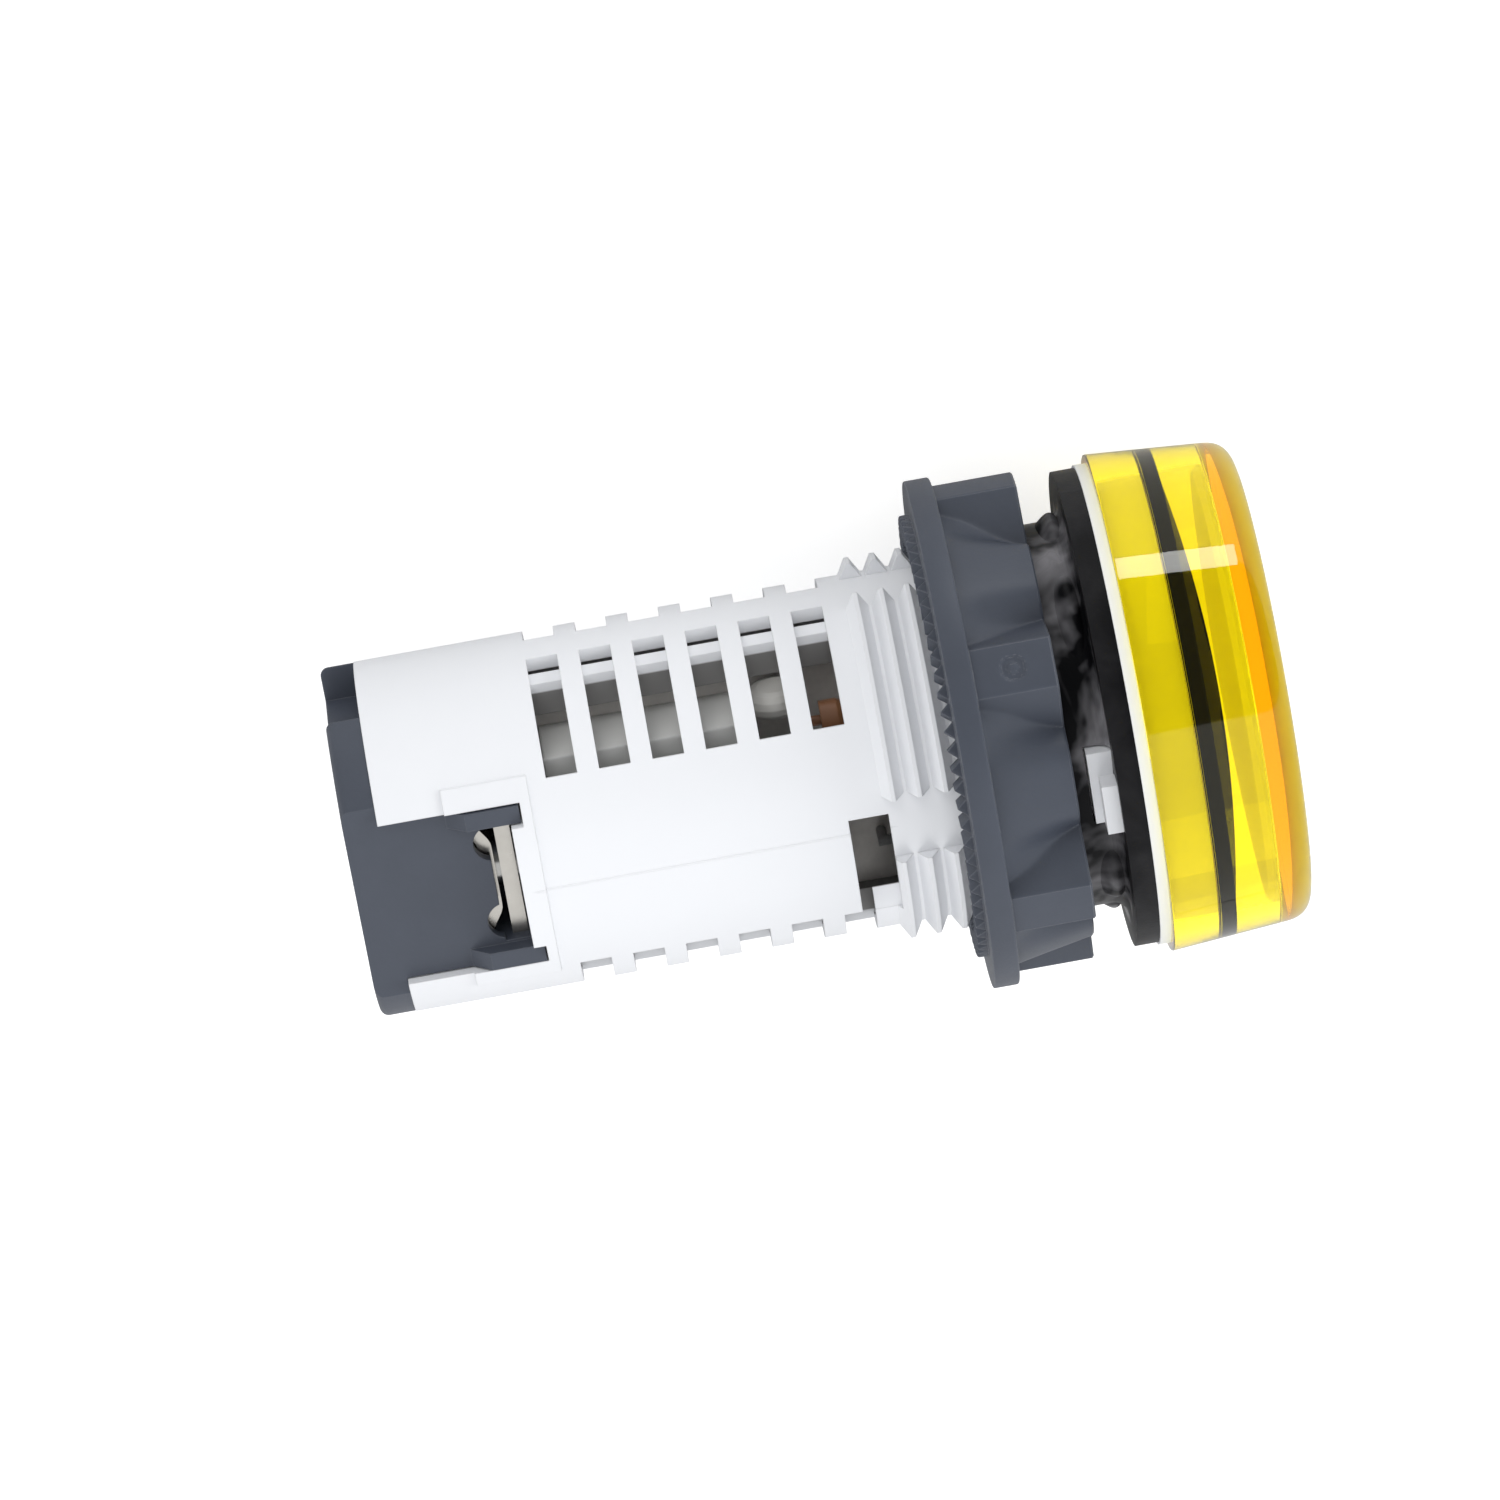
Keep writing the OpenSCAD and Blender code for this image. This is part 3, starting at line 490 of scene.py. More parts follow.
def rubberMaterial():
    # black rubber; the sleeve, nearer to the axis than the flange, has broad patches of painted sheen, lighter
    # grey for soft reflections, that are also glossier
    s = rubberLook
    material, tree, shader, output = newMaterial("gasketRubber")
    where = addNode(tree, "ShaderNodeTexCoord")
    flat = addNode(tree, "ShaderNodeVectorMath", operation="MULTIPLY")
    flat.inputs[1].default_value = (1, 0, 1)
    tree.links.new(where.outputs["Object"], flat.inputs[0])
    reach = addNode(tree, "ShaderNodeVectorMath", operation="LENGTH")
    tree.links.new(flat.outputs[0], reach.inputs[0])
    onSleeve = addNode(tree, "ShaderNodeMapRange")
    onSleeve.inputs["From Min"].default_value = s["flangeFrom"] * mm
    onSleeve.inputs["From Max"].default_value = s["sleeveTo"] * mm
    onSleeve.inputs["To Min"].default_value = s["sheenOnFlange"]
    tree.links.new(reach.outputs["Value"], onSleeve.inputs["Value"])
    sheenNoise = addNode(tree, "ShaderNodeTexNoise", Scale=s["sheenScale"], Detail=3.0, Roughness=0.55,
                    Distortion=0.4)
    tree.links.new(where.outputs["Object"], sheenNoise.inputs["Vector"])
    band = addNode(tree, "ShaderNodeValToRGB")
    band.color_ramp.elements[0].position = s["sheenFrom"]
    band.color_ramp.elements[1].position = s["sheenFull"]
    tree.links.new(sheenNoise.outputs["Fac"], band.inputs["Fac"])
    # painted sheen: the patches are painted lighter grey, standing in for soft reflections on the black rubber
    shown = product(tree, band.outputs["Color"], onSleeve.outputs["Result"])
    tone = linkMix(tree, shown, s["clean"], s["paintedSheen"])
    tree.links.new(tone, shader.inputs["Base Color"])
    gloss = addNode(tree, "ShaderNodeMapRange")
    gloss.inputs["To Min"].default_value = s["cleanRough"]
    gloss.inputs["To Max"].default_value = s["sheenRough"]
    tree.links.new(shown, gloss.inputs["Value"])
    shader.inputs["Specular IOR Level"].default_value = s["specular"]
    tree.links.new(gloss.outputs["Result"], shader.inputs["Roughness"])
    grain = addNode(tree, "ShaderNodeTexNoise", Scale=s["grainScale"], Detail=3.0)
    tree.links.new(where.outputs["Object"], grain.inputs["Vector"])
    bump = addNode(tree, "ShaderNodeBump", Distance=s["grainHeight"], Strength=s["grainStrength"])
    tree.links.new(grain.outputs["Fac"], bump.inputs["Height"])
    tree.links.new(bump.outputs["Normal"], shader.inputs["Normal"])
    return material


finish = {
    "body": bodyMaterial(),
    # the nut's edge colour, much lighter than its body colour, is a painted highlight along the flange's rear
    # edge and the lobes' edges
    "nut": mouldedMaterial(
        "nutPlastic", (0.056, 0.065, 0.086), (0.22, 0.23, 0.255),
        Tint=0.25, Tint_Scale=260.0, Roughness=0.42, Grain_Scale=7000.0, Grain=0.3, Edge=0.00011),
    "cover": mouldedMaterial(
        "coverPlastic", (0.06, 0.069, 0.09), (0.12, 0.132, 0.155),
        Tint=0.25, Tint_Scale=260.0, Roughness=0.42, Grain_Scale=7000.0, Grain=0.3, Edge=0.00012),
    "lens": amberMaterial(),
    "diffuser": opalMaterial(),
    "mask": mouldedMaterial(
        "maskPlastic", (0.006, 0.006, 0.007), (0.01, 0.01, 0.011),
        specular=0.1, Tint=0.2, Roughness=0.7, Grain=0.1),
    "lampBoard": mouldedMaterial(
        "lampBoardMask", (0.82, 0.83, 0.8), (0.6, 0.58, 0.48), Tint=0.06, Roughness=0.35, Grain=0.05),
    "lamp": mouldedMaterial(
        "lampCase", (0.88, 0.84, 0.66), (0.9, 0.88, 0.76), Tint=0.05, Roughness=0.3, Grain=0.02),
    "gasket": rubberMaterial(),
    "board": mouldedMaterial(
        "boardLaminate", (0.5, 0.48, 0.455), (0.6, 0.58, 0.55),
        Tint=0.3, Tint_Scale=1500.0, Roughness=0.45, Grain_Scale=3000.0, Grain=0.15),
    "capacitor": mouldedMaterial(
        "capacitorCase", (0.6, 0.6, 0.58), (0.68, 0.68, 0.66),
        Tint=0.1, Roughness=0.4, Grain=0.1, Edge=0.00025),
    "ceramic": mouldedMaterial(
        "dippedCoating", (0.5, 0.49, 0.46), (0.55, 0.54, 0.5), Tint=0.2, Roughness=0.25, Grain=0.1),
    "chip": mouldedMaterial(
        "chipCase", (0.03, 0.03, 0.03), (0.06, 0.06, 0.06), Tint=0.2, Roughness=0.5, Grain=0.2),
    "resistor": mouldedMaterial(
        "resistorLacquer", (0.3, 0.14, 0.07), (0.34, 0.17, 0.09), Tint=0.2, Roughness=0.25, Grain=0.1),
    "greyLacquer": mouldedMaterial(
        "greyLacquer", (0.2, 0.2, 0.2), (0.24, 0.24, 0.24), Tint=0.2, Roughness=0.3, Grain=0.1),
    "terminal": metalMaterial("tinnedSteel", (0.8, 0.765, 0.7), 0.24),
    "screw": metalMaterial("zincPlate", (0.66, 0.65, 0.62), 0.22),
}
solidFinish = {
    "diffuser": "diffuser", "lamp_mask": "mask", "lamp_board": "lampBoard", "body_shell": "body",
    "gasket": "gasket", "lock_nut": "nut", "rear_cover": "cover", "main_board": "board",
    "box_capacitor": "capacitor", "disc_capacitor": "ceramic", "rectifier": "chip",
    "resistor_1": "resistor", "resistor_2": "greyLacquer", "board_pin_1": "terminal", "board_pin_2": "terminal",
    "terminal_strip_1": "terminal", "terminal_strip_2": "terminal", "clamp_plate_1": "terminal",
    "clamp_plate_2": "terminal", "clamp_screw_1": "screw", "clamp_screw_2": "screw", "lens": "lens",
    **{"lamp_%d" % i: "lamp" for i in range(1, 7)},
}
for nodeName, finishName in solidFinish.items():
    mesh = nodes[nodeName].data
    mesh.materials.clear()
    mesh.materials.append(finish[finishName])
print("materials ready:", len(finish))

# body: a welded copy of its solid, whose tube has some long triangles that cut across its round walls
tubeSizes = {
    "outer": 10.2, "bore": 9.4, "level": 0.02,   # mm, the walls' two radii and how far off a corner may lie
    "slat": 1.6, "from": 2, "to": 178,   # mm, longest triangle to mend along the axis; degrees from the key
    "sharp": 30,   # degrees
}


def readMesh(mesh):
    # places of the points, the three corners of every triangle, each corner's direction from the axis or to
    # it, whichever way its triangle faces, and which triangles are on a wall of the tube: all corners on one of
    # its two radii, and not in a plane square to the axis
    place, index = np.empty(len(mesh.vertices) * 3), np.empty(len(mesh.loops), dtype=int)
    facing = np.empty(len(mesh.polygons) * 3)
    mesh.vertices.foreach_get("co", place)
    mesh.loops.foreach_get("vertex_index", index)
    mesh.polygons.foreach_get("normal", facing)
    place = place.reshape(-1, 3)
    corner = place[index].reshape(-1, 3, 3)
    radius = np.hypot(corner[..., 0], corner[..., 2])
    outwards = corner * (1, 0, 1) / radius[..., None].clip(1e-9, None)
    side = (outwards * facing.reshape(-1, 1, 3)).sum(axis=-1, keepdims=True)
    level = tubeSizes["level"] * mm
    onOuter = (np.abs(radius - tubeSizes["outer"] * mm) < level).all(axis=1)
    onBore = (np.abs(radius - tubeSizes["bore"] * mm) < level).all(axis=1)
    onWall = (onOuter | onBore) & (np.ptp(corner[..., 1], axis=1) > level)
    return place, corner, outwards * np.sign(side), onWall


def roundTube(source):
    # the slats' walls are rolled out flat, radius times angle, where swapping edges gives even triangles, and
    # rolled up again; then the corner normals on the walls are the exact directions from the axis or to it
    s = tubeSizes
    mesh = source.data.copy()
    mesh.attributes.remove(mesh.attributes["custom_normal"])
    shell = bmesh.new()
    shell.from_mesh(mesh)
    bmesh.ops.remove_doubles(shell, verts=shell.verts, dist=weld)
    shell.to_mesh(mesh)
    shell.free()
    place, corner, outwards, onWall = readMesh(mesh)
    turnAngle = np.abs(np.degrees(np.arctan2(corner[..., 0], corner[..., 2])))
    chosen = onWall & (turnAngle > s["from"]).all(axis=1) & (turnAngle < s["to"]).all(axis=1)
    chosen &= np.ptp(np.sign(corner[..., 0]), axis=1) == 0
    chosen &= np.ptp(corner[..., 1], axis=1) < s["slat"] * mm
    flat = place.copy()
    flat[:, 0] = np.hypot(place[:, 0], place[:, 2]) * np.arctan2(place[:, 0], place[:, 2])
    flat[:, 2] = 0
    mesh.vertices.foreach_set("co", flat.ravel())
    mesh.polygons.foreach_set("select", chosen)
    mesh.update()
    shell = bmesh.new()
    shell.from_mesh(mesh)
    faces = [face for face in shell.faces if face.select]
    edges = [edge for edge in shell.edges
             if len(edge.link_faces) == 2 and all(face.select for face in edge.link_faces)]
    bmesh.ops.beautify_fill(shell, faces=faces, edges=edges, use_restrict_tag=False, method="AREA")
    shell.to_mesh(mesh)
    shell.free()
    mesh.vertices.foreach_set("co", place.ravel())
    mesh.polygons.foreach_set("use_smooth", np.ones(len(mesh.polygons), bool))
    mesh.update()
    mesh.set_sharp_from_angle(angle=math.radians(s["sharp"]))
    normal = np.empty(len(mesh.loops) * 3)
    mesh.corner_normals.foreach_get("vector", normal)
    place, corner, outwards, onWall = readMesh(mesh)
    normal = np.where(onWall[:, None, None], outwards, normal.reshape(-1, 3, 3))
    mesh.normals_split_custom_set(normal.reshape(-1, 3).tolist())
    return mesh


bodyShell = bpy.data.objects.new("bodyShell", roundTube(nodes["body_shell"]))
bpy.context.scene.collection.objects.link(bodyShell)
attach(bodyShell, "root")
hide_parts("body_shell")
print("body ready:", len(bodyShell.data.polygons), "faces")

# lens cap: one turned outline, hollow behind the thick front disc
lensSizes = {
    "rim": 2.0, "front": 10.35, "rimRadius": 14.5, "frontRadius": 13.85, "edge": 1.5,   # mm
    "bore": 12.9, "discBack": 8.33, "taper": 0.1,
    "grooveAt": 4.74, "grooveDepth": 0.09, "grooveHalf": 0.07,
    "rimInside": 0.06, "rimOutside": 0.12, "boreEnd": 0.12, "grooveSoft": 0.01,   # smaller corners
    "cornerSteps": 8, "columns": 256, "sharp": 50,
}


def lensOutline():
    # rear rim, slightly tapered skirt, rounded front edge, flat disc, then back down the tapered bore past a
    # fine groove where the collar ends
    s = lensSizes
    groove, half = s["grooveAt"], s["grooveHalf"]

    def bore(along):
        return s["bore"] - s["taper"] * (along - s["rim"]) / (s["discBack"] - s["rim"])

    corners = [(bore(s["rim"]), s["rim"]), (s["rimRadius"], s["rim"]),
               (s["frontRadius"], s["front"]), (0, s["front"]), (0, s["discBack"]),
               (bore(s["discBack"]), s["discBack"]), (bore(groove + half), groove + half),
               (bore(groove) + s["grooveDepth"], groove), (bore(groove - half), groove - half)]
    cuts = [s["rimInside"], s["rimOutside"], s["edge"], 0, 0, s["boreEnd"], *[s["grooveSoft"]] * 3]
    return softCorners(corners, cuts, s["cornerSteps"])


makePiece("lensCap", turned(lensOutline(), lensSizes["columns"]), "root", finish["lens"], ["lens"],
          sharp=lensSizes["sharp"])

# domed mask over the lamps: its rim presses on the lens's bore, so it shows black out to the lens's edge
maskSizes = {
    "foot": 4.85, "insideRadius": 11.2, "rimRadius": 12.93, "rimHeight": 0.85,   # mm
    "top": 6.95, "thickness": 0.7,
    "holes": 6, "holeCircle": 6.5, "holeRadius": 1.7,
    "underDome": 0.02,   # how far the foot's outer edge stays under the dome
    "rows": 66, "columns": 240,
}


def maskDome():
    # the dome falls with the square of the radius, and a point inside a lamp's hole moves out to its edge
    s = maskSizes
    rise = s["top"] - s["foot"] - s["rimHeight"]
    radius = np.linspace(0.0, s["rimRadius"], s["rows"])[:, None]
    angle = np.linspace(0, fullTurn, s["columns"], endpoint=False)[None, :]
    x, y = radius * np.cos(angle), radius * np.sin(angle)
    lampAngle = math.pi / 2 + fullTurn / s["holes"] * np.arange(s["holes"])
    holeX, holeY = s["holeCircle"] * np.cos(lampAngle), s["holeCircle"] * np.sin(lampAngle)
    offsetX, offsetY = x[..., None] - holeX, y[..., None] - holeY
    nearest = np.argmin(offsetX ** 2 + offsetY ** 2, axis=-1)[..., None]
    offsetX = np.take_along_axis(offsetX, nearest, -1)[..., 0]
    offsetY = np.take_along_axis(offsetY, nearest, -1)[..., 0]
    away = np.hypot(offsetX, offsetY).clip(1e-6, None)
    inside = away < s["holeRadius"]
    x = x + np.where(inside, offsetX / away * (s["holeRadius"] - away), 0)
    y = y + np.where(inside, offsetY / away * (s["holeRadius"] - away), 0)
    height = s["foot"] + s["rimHeight"] + rise * (1 - (np.hypot(x, y) / s["rimRadius"]) ** 2)
    faces = gridFaces(*x.shape, False, True)
    faces = faces[~inside.ravel()[faces].all(axis=1)]
    return np.stack([x, -height, y], axis=-1).reshape(-1, 3), faces


def maskFoot():
    # the solid ring under the dome's rim
    s = maskSizes
    top = s["foot"] + s["rimHeight"]
    return turned([(s["insideRadius"], s["foot"]), (s["insideRadius"], top),
                   (s["rimRadius"], top - s["underDome"]), (s["rimRadius"], s["foot"])], s["columns"])


makePiece("lampMask", maskDome(), "root", finish["mask"], ["lamp_mask"], wall=maskSizes["thickness"])
makePiece("maskFoot", maskFoot(), "root", finish["mask"])

# soft swellings of the gasket's sleeve, close under its flange
lumpSizes = {
    "count": 8, "turn": -56.5, "halfTurn": 19.0, "skip": 0.5,   # degrees
    "rear": -2.3, "front": 0.15, "under": 10.75, "height": 1.05,   # mm
    "rise": 1.8,   # more than 1 puts the highest place nearer to the front
    "across": 33, "along": 25, "sharp": 70,
}


def gasketLumps():
    # each lump is a closed dome: its height is the product of two sines, across it and along it, and its floor
    # lies inside the sleeve; a lump that would reach the key is skipped
    s = lumpSizes
    across, along = np.linspace(0, 1, s["across"])[:, None], np.linspace(0, 1, s["along"])[None, :]
    swell = np.sin(np.pi * across) * np.sin(np.pi * along ** s["rise"])
    place = s["rear"] + (s["front"] - s["rear"]) * along
    parts = []
    for turn in np.arange(s["count"]) * 360 / s["count"] + s["turn"]:
        if abs((turn + 180) % 360 - 180) < s["halfTurn"] + s["skip"]:
            continue
        angle = np.radians(turn + s["halfTurn"] * (2 * across - 1))
        for height in (s["height"], 0):
            points = aroundAxis(s["under"] + height * swell, angle, place).reshape(-1, 3)
            parts.append((points, gridFaces(s["across"], s["along"])))
    return parts


makePiece("gasketLumps", gasketLumps(), "root", finish["gasket"], sharp=lumpSizes["sharp"])

# lock nut: radius and height worked out for every angle
nutSizes = {
    "bore": 11.25, "gripFront": -2.4, "gripBack": -6.95, "flangeBack": -8.45, "back": -9.05,   # mm
    "flangeRadius": 14.8, "ringRadius": 12.9, "lobeRadius": 14.5, "lobes": 6, "lobeTurn": 21.2,   # mm, degrees
    "lobeTop": 5.7, "lobeFoot": 12.9, "footRadius": 12.3,   # degrees, degrees, mm
    "flankEnd": 1.3, "noLobe": 10.0,   # share of lobeFoot where the flank stops, and the radius beyond it, mm
    "valleyBack": 13.7, "valleyFront": 12.9, "soft": 0.05,   # mm
    "scoopDepth": 1.3, "scoopAt": 14.0, "scoopSpread": 5.5,   # mm, degrees from the lobe's middle, degrees
    "scoopGrowth": 0.8,   # power of the share
    "teeth": 72, "toothDepth": 0.58, "toothSlope": 1.12,   # a slope over 1 makes the tips and the gaps flat
    "gateTurn": -38.8, "gateRadius": 0.75, "gateInner": 0.35,   # degrees, mm, share of the radius
    "gateDepth": 0.12, "gateSoft": 0.08,   # mm
    # smaller steps and roundings in mm, and how finely the nut is drawn
    "boreFront": 0.3, "boreBack": 0.1, "boreRows": 5,
    "mouthOuter": 0.35, "mouthInner": 0.25, "mouthLevel": 0.05,
    "ringCut": 0.12, "ringSoft": 0.03, "ringInner": 0.4, "ringRows": 4, "ringStep": 0.15,
    "flangeBackSoft": 0.08, "flangeFrontSoft": 0.15, "lobeCut": 0.12, "frontCut": 0.1,
    "gripRows": 42, "columns": 1080,
}


def nutGripRadius(angle, share):
    # the lower of lobe top and flank, or the valley where that is higher, with the corners blended; the flank is
    # the straight line from the lobe's top corner to its foot, and the valley falls towards the front by a line
    # and by a bell-shaped scoop beside each lobe; share runs from the flange, 0, to the nut's front, 1
    s = nutSizes
    pitch = fullTurn / s["lobes"]
    offset = np.abs((angle - math.radians(s["lobeTurn"]) + pitch / 2) % pitch - pitch / 2)
    topAngle, footAngle = math.radians(s["lobeTop"]), math.radians(s["lobeFoot"])
    flank = (s["lobeRadius"] * s["footRadius"] * math.sin(footAngle - topAngle)
             / (s["footRadius"] * np.sin(np.clip(footAngle - offset, -0.4, 1)) + s["lobeRadius"]
                * np.sin(np.clip(offset - topAngle, -1, 1))).clip(0.3, None))
    flank = np.where(offset < topAngle, s["lobeRadius"],
                     np.where(offset > footAngle * s["flankEnd"], s["noLobe"], flank))
    lobe = np.minimum(flank, s["lobeRadius"])
    scoop = np.exp(-((np.degrees(offset) - s["scoopAt"]) / s["scoopSpread"]) ** 2) * share ** s["scoopGrowth"]
    valley = s["valleyBack"] + (s["valleyFront"] - s["valleyBack"]) * share - s["scoopDepth"] * scoop
    return s["soft"] * np.logaddexp(lobe / s["soft"], valley / s["soft"])


def nutGate(angle, along):
    # depth of the small round moulding point: a ring with soft edges in the middle of one lobe's top
    s = nutSizes
    arc = (((angle - math.radians(s["gateTurn"]) + math.pi) % fullTurn) - math.pi) * s["lobeRadius"]
    reach = np.hypot(arc, along - (s["gripFront"] + s["gripBack"]) / 2)
    ring = (np.clip((s["gateRadius"] - reach) / s["gateSoft"], 0, 1)
            * np.clip((reach - s["gateRadius"] * s["gateInner"]) / s["gateSoft"], 0, 1))
    return s["gateDepth"] * ring


def nutPoints():
    # stations round the cross-section, each with its own radius and place along the axis for every angle:
    # the bore backwards, the toothed ring, the flange, the grip forwards, and the mouth back to the bore
    s = nutSizes
    angle = np.linspace(0, fullTurn, s["columns"], endpoint=False)
    wave = np.abs((angle * s["teeth"] / fullTurn) % 1 * 2 - 1)
    wave = np.clip(wave * s["toothSlope"] - (s["toothSlope"] - 1) / 2, 0, 1)
    toothBack = s["back"] + s["toothDepth"] * wave
    flat = np.zeros_like(angle)
    radii, places = [], []

    def station(radius, along):
        # one point for every angle
        radii.append(radius + flat)
        places.append(along + flat)

    for depth in np.linspace(s["gripFront"] - s["boreFront"], s["flangeBack"] + s["boreBack"], s["boreRows"]):
        station(s["bore"], depth)
    station(s["bore"], toothBack + s["ringCut"])
    station(s["bore"] + s["ringCut"], toothBack)
    for radius in np.linspace(s["bore"] + s["ringInner"], s["ringRadius"] - s["ringCut"], s["ringRows"]):
        station(radius, toothBack)
    station(s["ringRadius"] - s["ringSoft"], toothBack + s["ringSoft"])
    station(s["ringRadius"], toothBack + s["ringCut"])
    station(s["ringRadius"], s["flangeBack"])
    station(s["ringRadius"] + s["ringStep"], s["flangeBack"])
    for t in (0.0, 0.5, 1.0):
        station(s["flangeRadius"] - s["flangeBackSoft"] * (1 - math.sin(t * math.pi / 2)),
                s["flangeBack"] + s["flangeBackSoft"] * (1 - math.cos(t * math.pi / 2)))
    for t in (0.0, 0.33, 0.66, 1.0):
        station(s["flangeRadius"] - s["flangeFrontSoft"] * (1 - math.cos(t * math.pi / 2)),
                s["gripBack"] - s["flangeFrontSoft"] * (1 - math.sin(t * math.pi / 2)))
    for share in np.linspace(0, 1, s["gripRows"]):
        along = s["gripBack"] + (s["gripFront"] - s["gripBack"]) * share
        station(nutGripRadius(angle, share) - nutGate(angle, along), along)
    for t in (0.35, 0.7, 1.0):
        station(nutGripRadius(angle, 1.0) - s["lobeCut"] * t, s["gripFront"] + s["frontCut"] * t)
    station(s["bore"] + s["mouthOuter"], s["gripFront"] + s["frontCut"])
    station(s["bore"] + s["mouthInner"], s["gripFront"] + s["mouthLevel"])
    radii, places = np.array(radii), np.array(places)
    points = aroundAxis(radii, angle[None, :], places)
    return points.reshape(-1, 3), gridFaces(len(radii), s["columns"], True, True)


makePiece("lockNut", nutPoints(), "nut", finish["nut"], ["lock_nut"])
print("lens, mask, gasket lumps and nut ready")

# surroundings
lowest = solidBox[0][2]
floorValues = {"size": 6.0, "colour": (0.62, 0.62, 0.62, 1), "rough": 0.9, "glow": 0.65}   # m


def makeFloor():
    # a square of white paper under the object; it glows where the camera sees it, through the lens as well
    s = floorValues
    mesh = bpy.data.meshes.new("floor")
    half = s["size"] / 2
    corners = [(-half, -half, lowest), (half, -half, lowest), (half, half, lowest), (-half, half, lowest)]
    mesh.from_pydata(corners, [], [(0, 1, 2, 3)])
    floor = bpy.data.objects.new("floor", mesh)
    bpy.context.scene.collection.objects.link(floor)
    material, tree, shader, output = newMaterial("floorPaper")
    shader.inputs["Base Color"].default_value = s["colour"]
    shader.inputs["Roughness"].default_value = s["rough"]
    shader.inputs["Specular IOR Level"].default_value = 0.0
    shader.inputs["Emission Color"].default_value = (1, 1, 1, 1)
    rays = addNode(tree, "ShaderNodeLightPath")
    seen = addNode(tree, "ShaderNodeMath", operation="MAXIMUM")
    tree.links.new(rays.outputs["Is Camera Ray"], seen.inputs[0])
    tree.links.new(rays.outputs["Is Transmission Ray"], seen.inputs[1])
    glow = addNode(tree, "ShaderNodeMath", operation="MULTIPLY")
    glow.inputs[1].default_value = s["glow"]
    tree.links.new(seen.outputs[0], glow.inputs[0])
    tree.links.new(glow.outputs[0], shader.inputs["Emission Strength"])
    mesh.materials.append(material)


tentValues = {
    "colour": (0.97, 0.98, 1.0, 1), "strength": 0.85,
    "opening": ((-16, 1), (60, -1)), "soft": 0.01,   # degrees from the picture's up, and the open side
    "dimming": 0.12, "mirroredDimming": 0.74,   # taken off the strength inside the opening
}


def makeWorld():
    # an even white tent whose strength falls in an opening on the camera's side, and much more in reflections;
    # the opening is the product of two half spaces
    s = tentValues
    world = bpy.data.worlds.new("tent")
    bpy.context.scene.world = world
    world.use_nodes = True
    tree = world.node_tree
    tree.nodes.clear()
    where = addNode(tree, "ShaderNodeTexCoord")
    side, towards = Vector(view["imageUp"]).normalized(), Vector(view["towardsCamera"]).normalized()
    masks = []
    for angle, sign in s["opening"]:
        turn = math.radians(angle)
        normal = (side * math.cos(turn) - towards * math.sin(turn)) * sign
        dot = addNode(tree, "ShaderNodeVectorMath", operation="DOT_PRODUCT")
        dot.inputs[1].default_value = normal
        tree.links.new(where.outputs["Generated"], dot.inputs[0])
        edge = addNode(tree, "ShaderNodeMapRange")
        edge.inputs["From Min"].default_value = -s["soft"]
        edge.inputs["From Max"].default_value = s["soft"]
        tree.links.new(dot.outputs["Value"], edge.inputs["Value"])
        masks.append(edge.outputs["Result"])
    rays = addNode(tree, "ShaderNodeLightPath")
    level = addNode(tree, "ShaderNodeMix")
    level.inputs["A"].default_value = s["dimming"]
    level.inputs["B"].default_value = s["mirroredDimming"]
    tree.links.new(rays.outputs["Is Glossy Ray"], level.inputs["Factor"])
    strength = addNode(tree, "ShaderNodeMath", operation="SUBTRACT")
    strength.inputs[0].default_value = s["strength"]
    tree.links.new(product(tree, product(tree, *masks), level.outputs["Result"]), strength.inputs[1])
    background = addNode(tree, "ShaderNodeBackground", Color=s["colour"])
    tree.links.new(strength.outputs[0], background.inputs["Strength"])
    output = addNode(tree, "ShaderNodeOutputWorld")
    tree.links.new(background.outputs[0], output.inputs["Surface"])


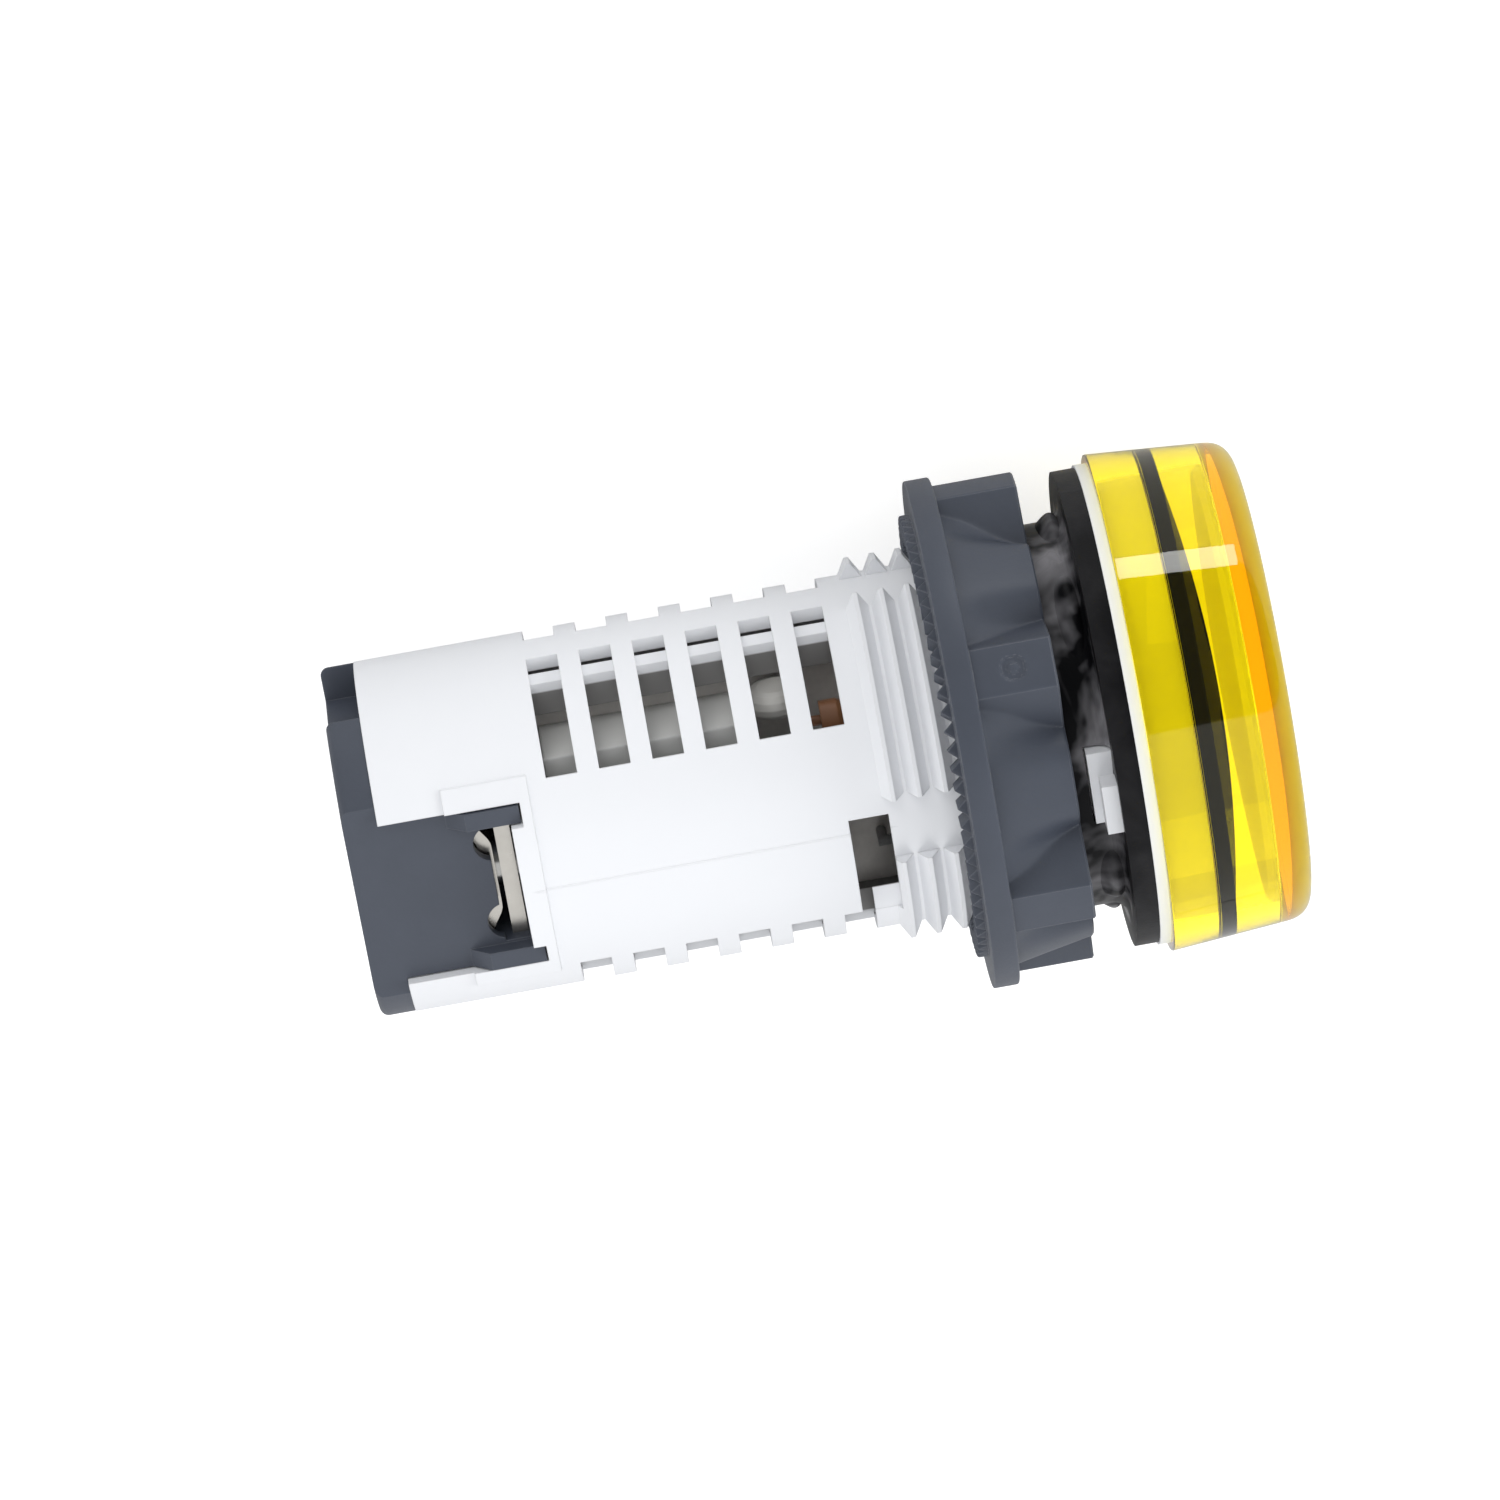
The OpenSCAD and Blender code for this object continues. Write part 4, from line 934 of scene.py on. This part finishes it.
lampValues = {
    "aim": (0, 5, 0),   # mm
    # direction, distance and side in m, radiance, seen in reflections
    "sideLamp": ((0.9, 0.25, 0.35), 0.9, 0.6, 1.6, False),
    "farSideLamp": ((-0.8, 0.1, 0.6), 0.9, 0.6, 1.8, False),
    "rearLamp": ((0.2, 1.0, 0.5), 0.9, 0.5, 1.2, True),
    "frontLamp": ((0.15, -1.0, 0.35), 0.8, 0.6, 3.8, False),
}
streakValues = {
    "turn": 31.5, "taper": 4.45, "radius": 14.2, "along": 5.5,   # degrees, mm: where the streak's middle lies
    "distance": 80.0, "height": 17.0, "length": 18.5, "radiance": 7.5,   # mm
}


def makeLamp(name, direction, distance, size, radiance, aim):
    # a rectangular lamp of one brightness that faces the aim; its power is radiance times pi times its area
    data = bpy.data.lights.new(name, "AREA")
    data.shape = "RECTANGLE"
    data.size, data.size_y = size
    data.energy = radiance * math.pi * size[0] * size[1]
    lamp = bpy.data.objects.new(name, data)
    bpy.context.scene.collection.objects.link(lamp)
    towards = Vector(direction).normalized()
    lamp.location = Vector(aim) * mm + towards * distance
    lamp.rotation_euler = towards.to_track_quat("Z", "Y").to_euler()
    return lamp


def mirrorWay(turn, taper, eye):
    # where a line of sight goes after it is mirrored on a cone round the axis: twice its part along the cone's
    # normal, less the line itself; the place is turned up from the middle of the view
    side, towards = Vector(view["imageUp"]).normalized(), Vector(view["towardsCamera"]).normalized()
    around = towards * math.cos(math.radians(turn)) + side * math.sin(math.radians(turn))
    normal = around * math.cos(math.radians(taper)) + Vector((0, -1, 0)) * math.sin(math.radians(taper))
    return around, normal * 2 * normal.dot(eye) - eye


def makeStreak():
    # a small lamp close to the lens that only reflections see: it draws the pale streak along the lens cap
    s = streakValues
    spot = Vector((0, -s["along"], 0))
    around, way = mirrorWay(s["turn"], s["taper"], (camera.matrix_world.translation / mm - spot).normalized())
    size = (s["length"] * mm, s["height"] * mm)
    lamp = makeLamp("streakLamp", way, s["distance"] * mm, size, s["radiance"], spot + around * s["radius"])
    along = (Vector((0, 1, 0)) - way * way.y).normalized()
    lamp.rotation_euler = Matrix((along, way.cross(along), way)).transposed().to_euler()
    lamp.visible_diffuse = False
    lamp.visible_transmission = False


makeFloor()
makeWorld()
makeStreak()
for lampName in ("sideLamp", "farSideLamp", "rearLamp", "frontLamp"):
    direction, distance, size, radiance, mirrored = lampValues[lampName]
    lamp = makeLamp(lampName, direction, distance, (size, size), radiance, lampValues["aim"])
    lamp.visible_glossy = mirrored
print("stage ready")
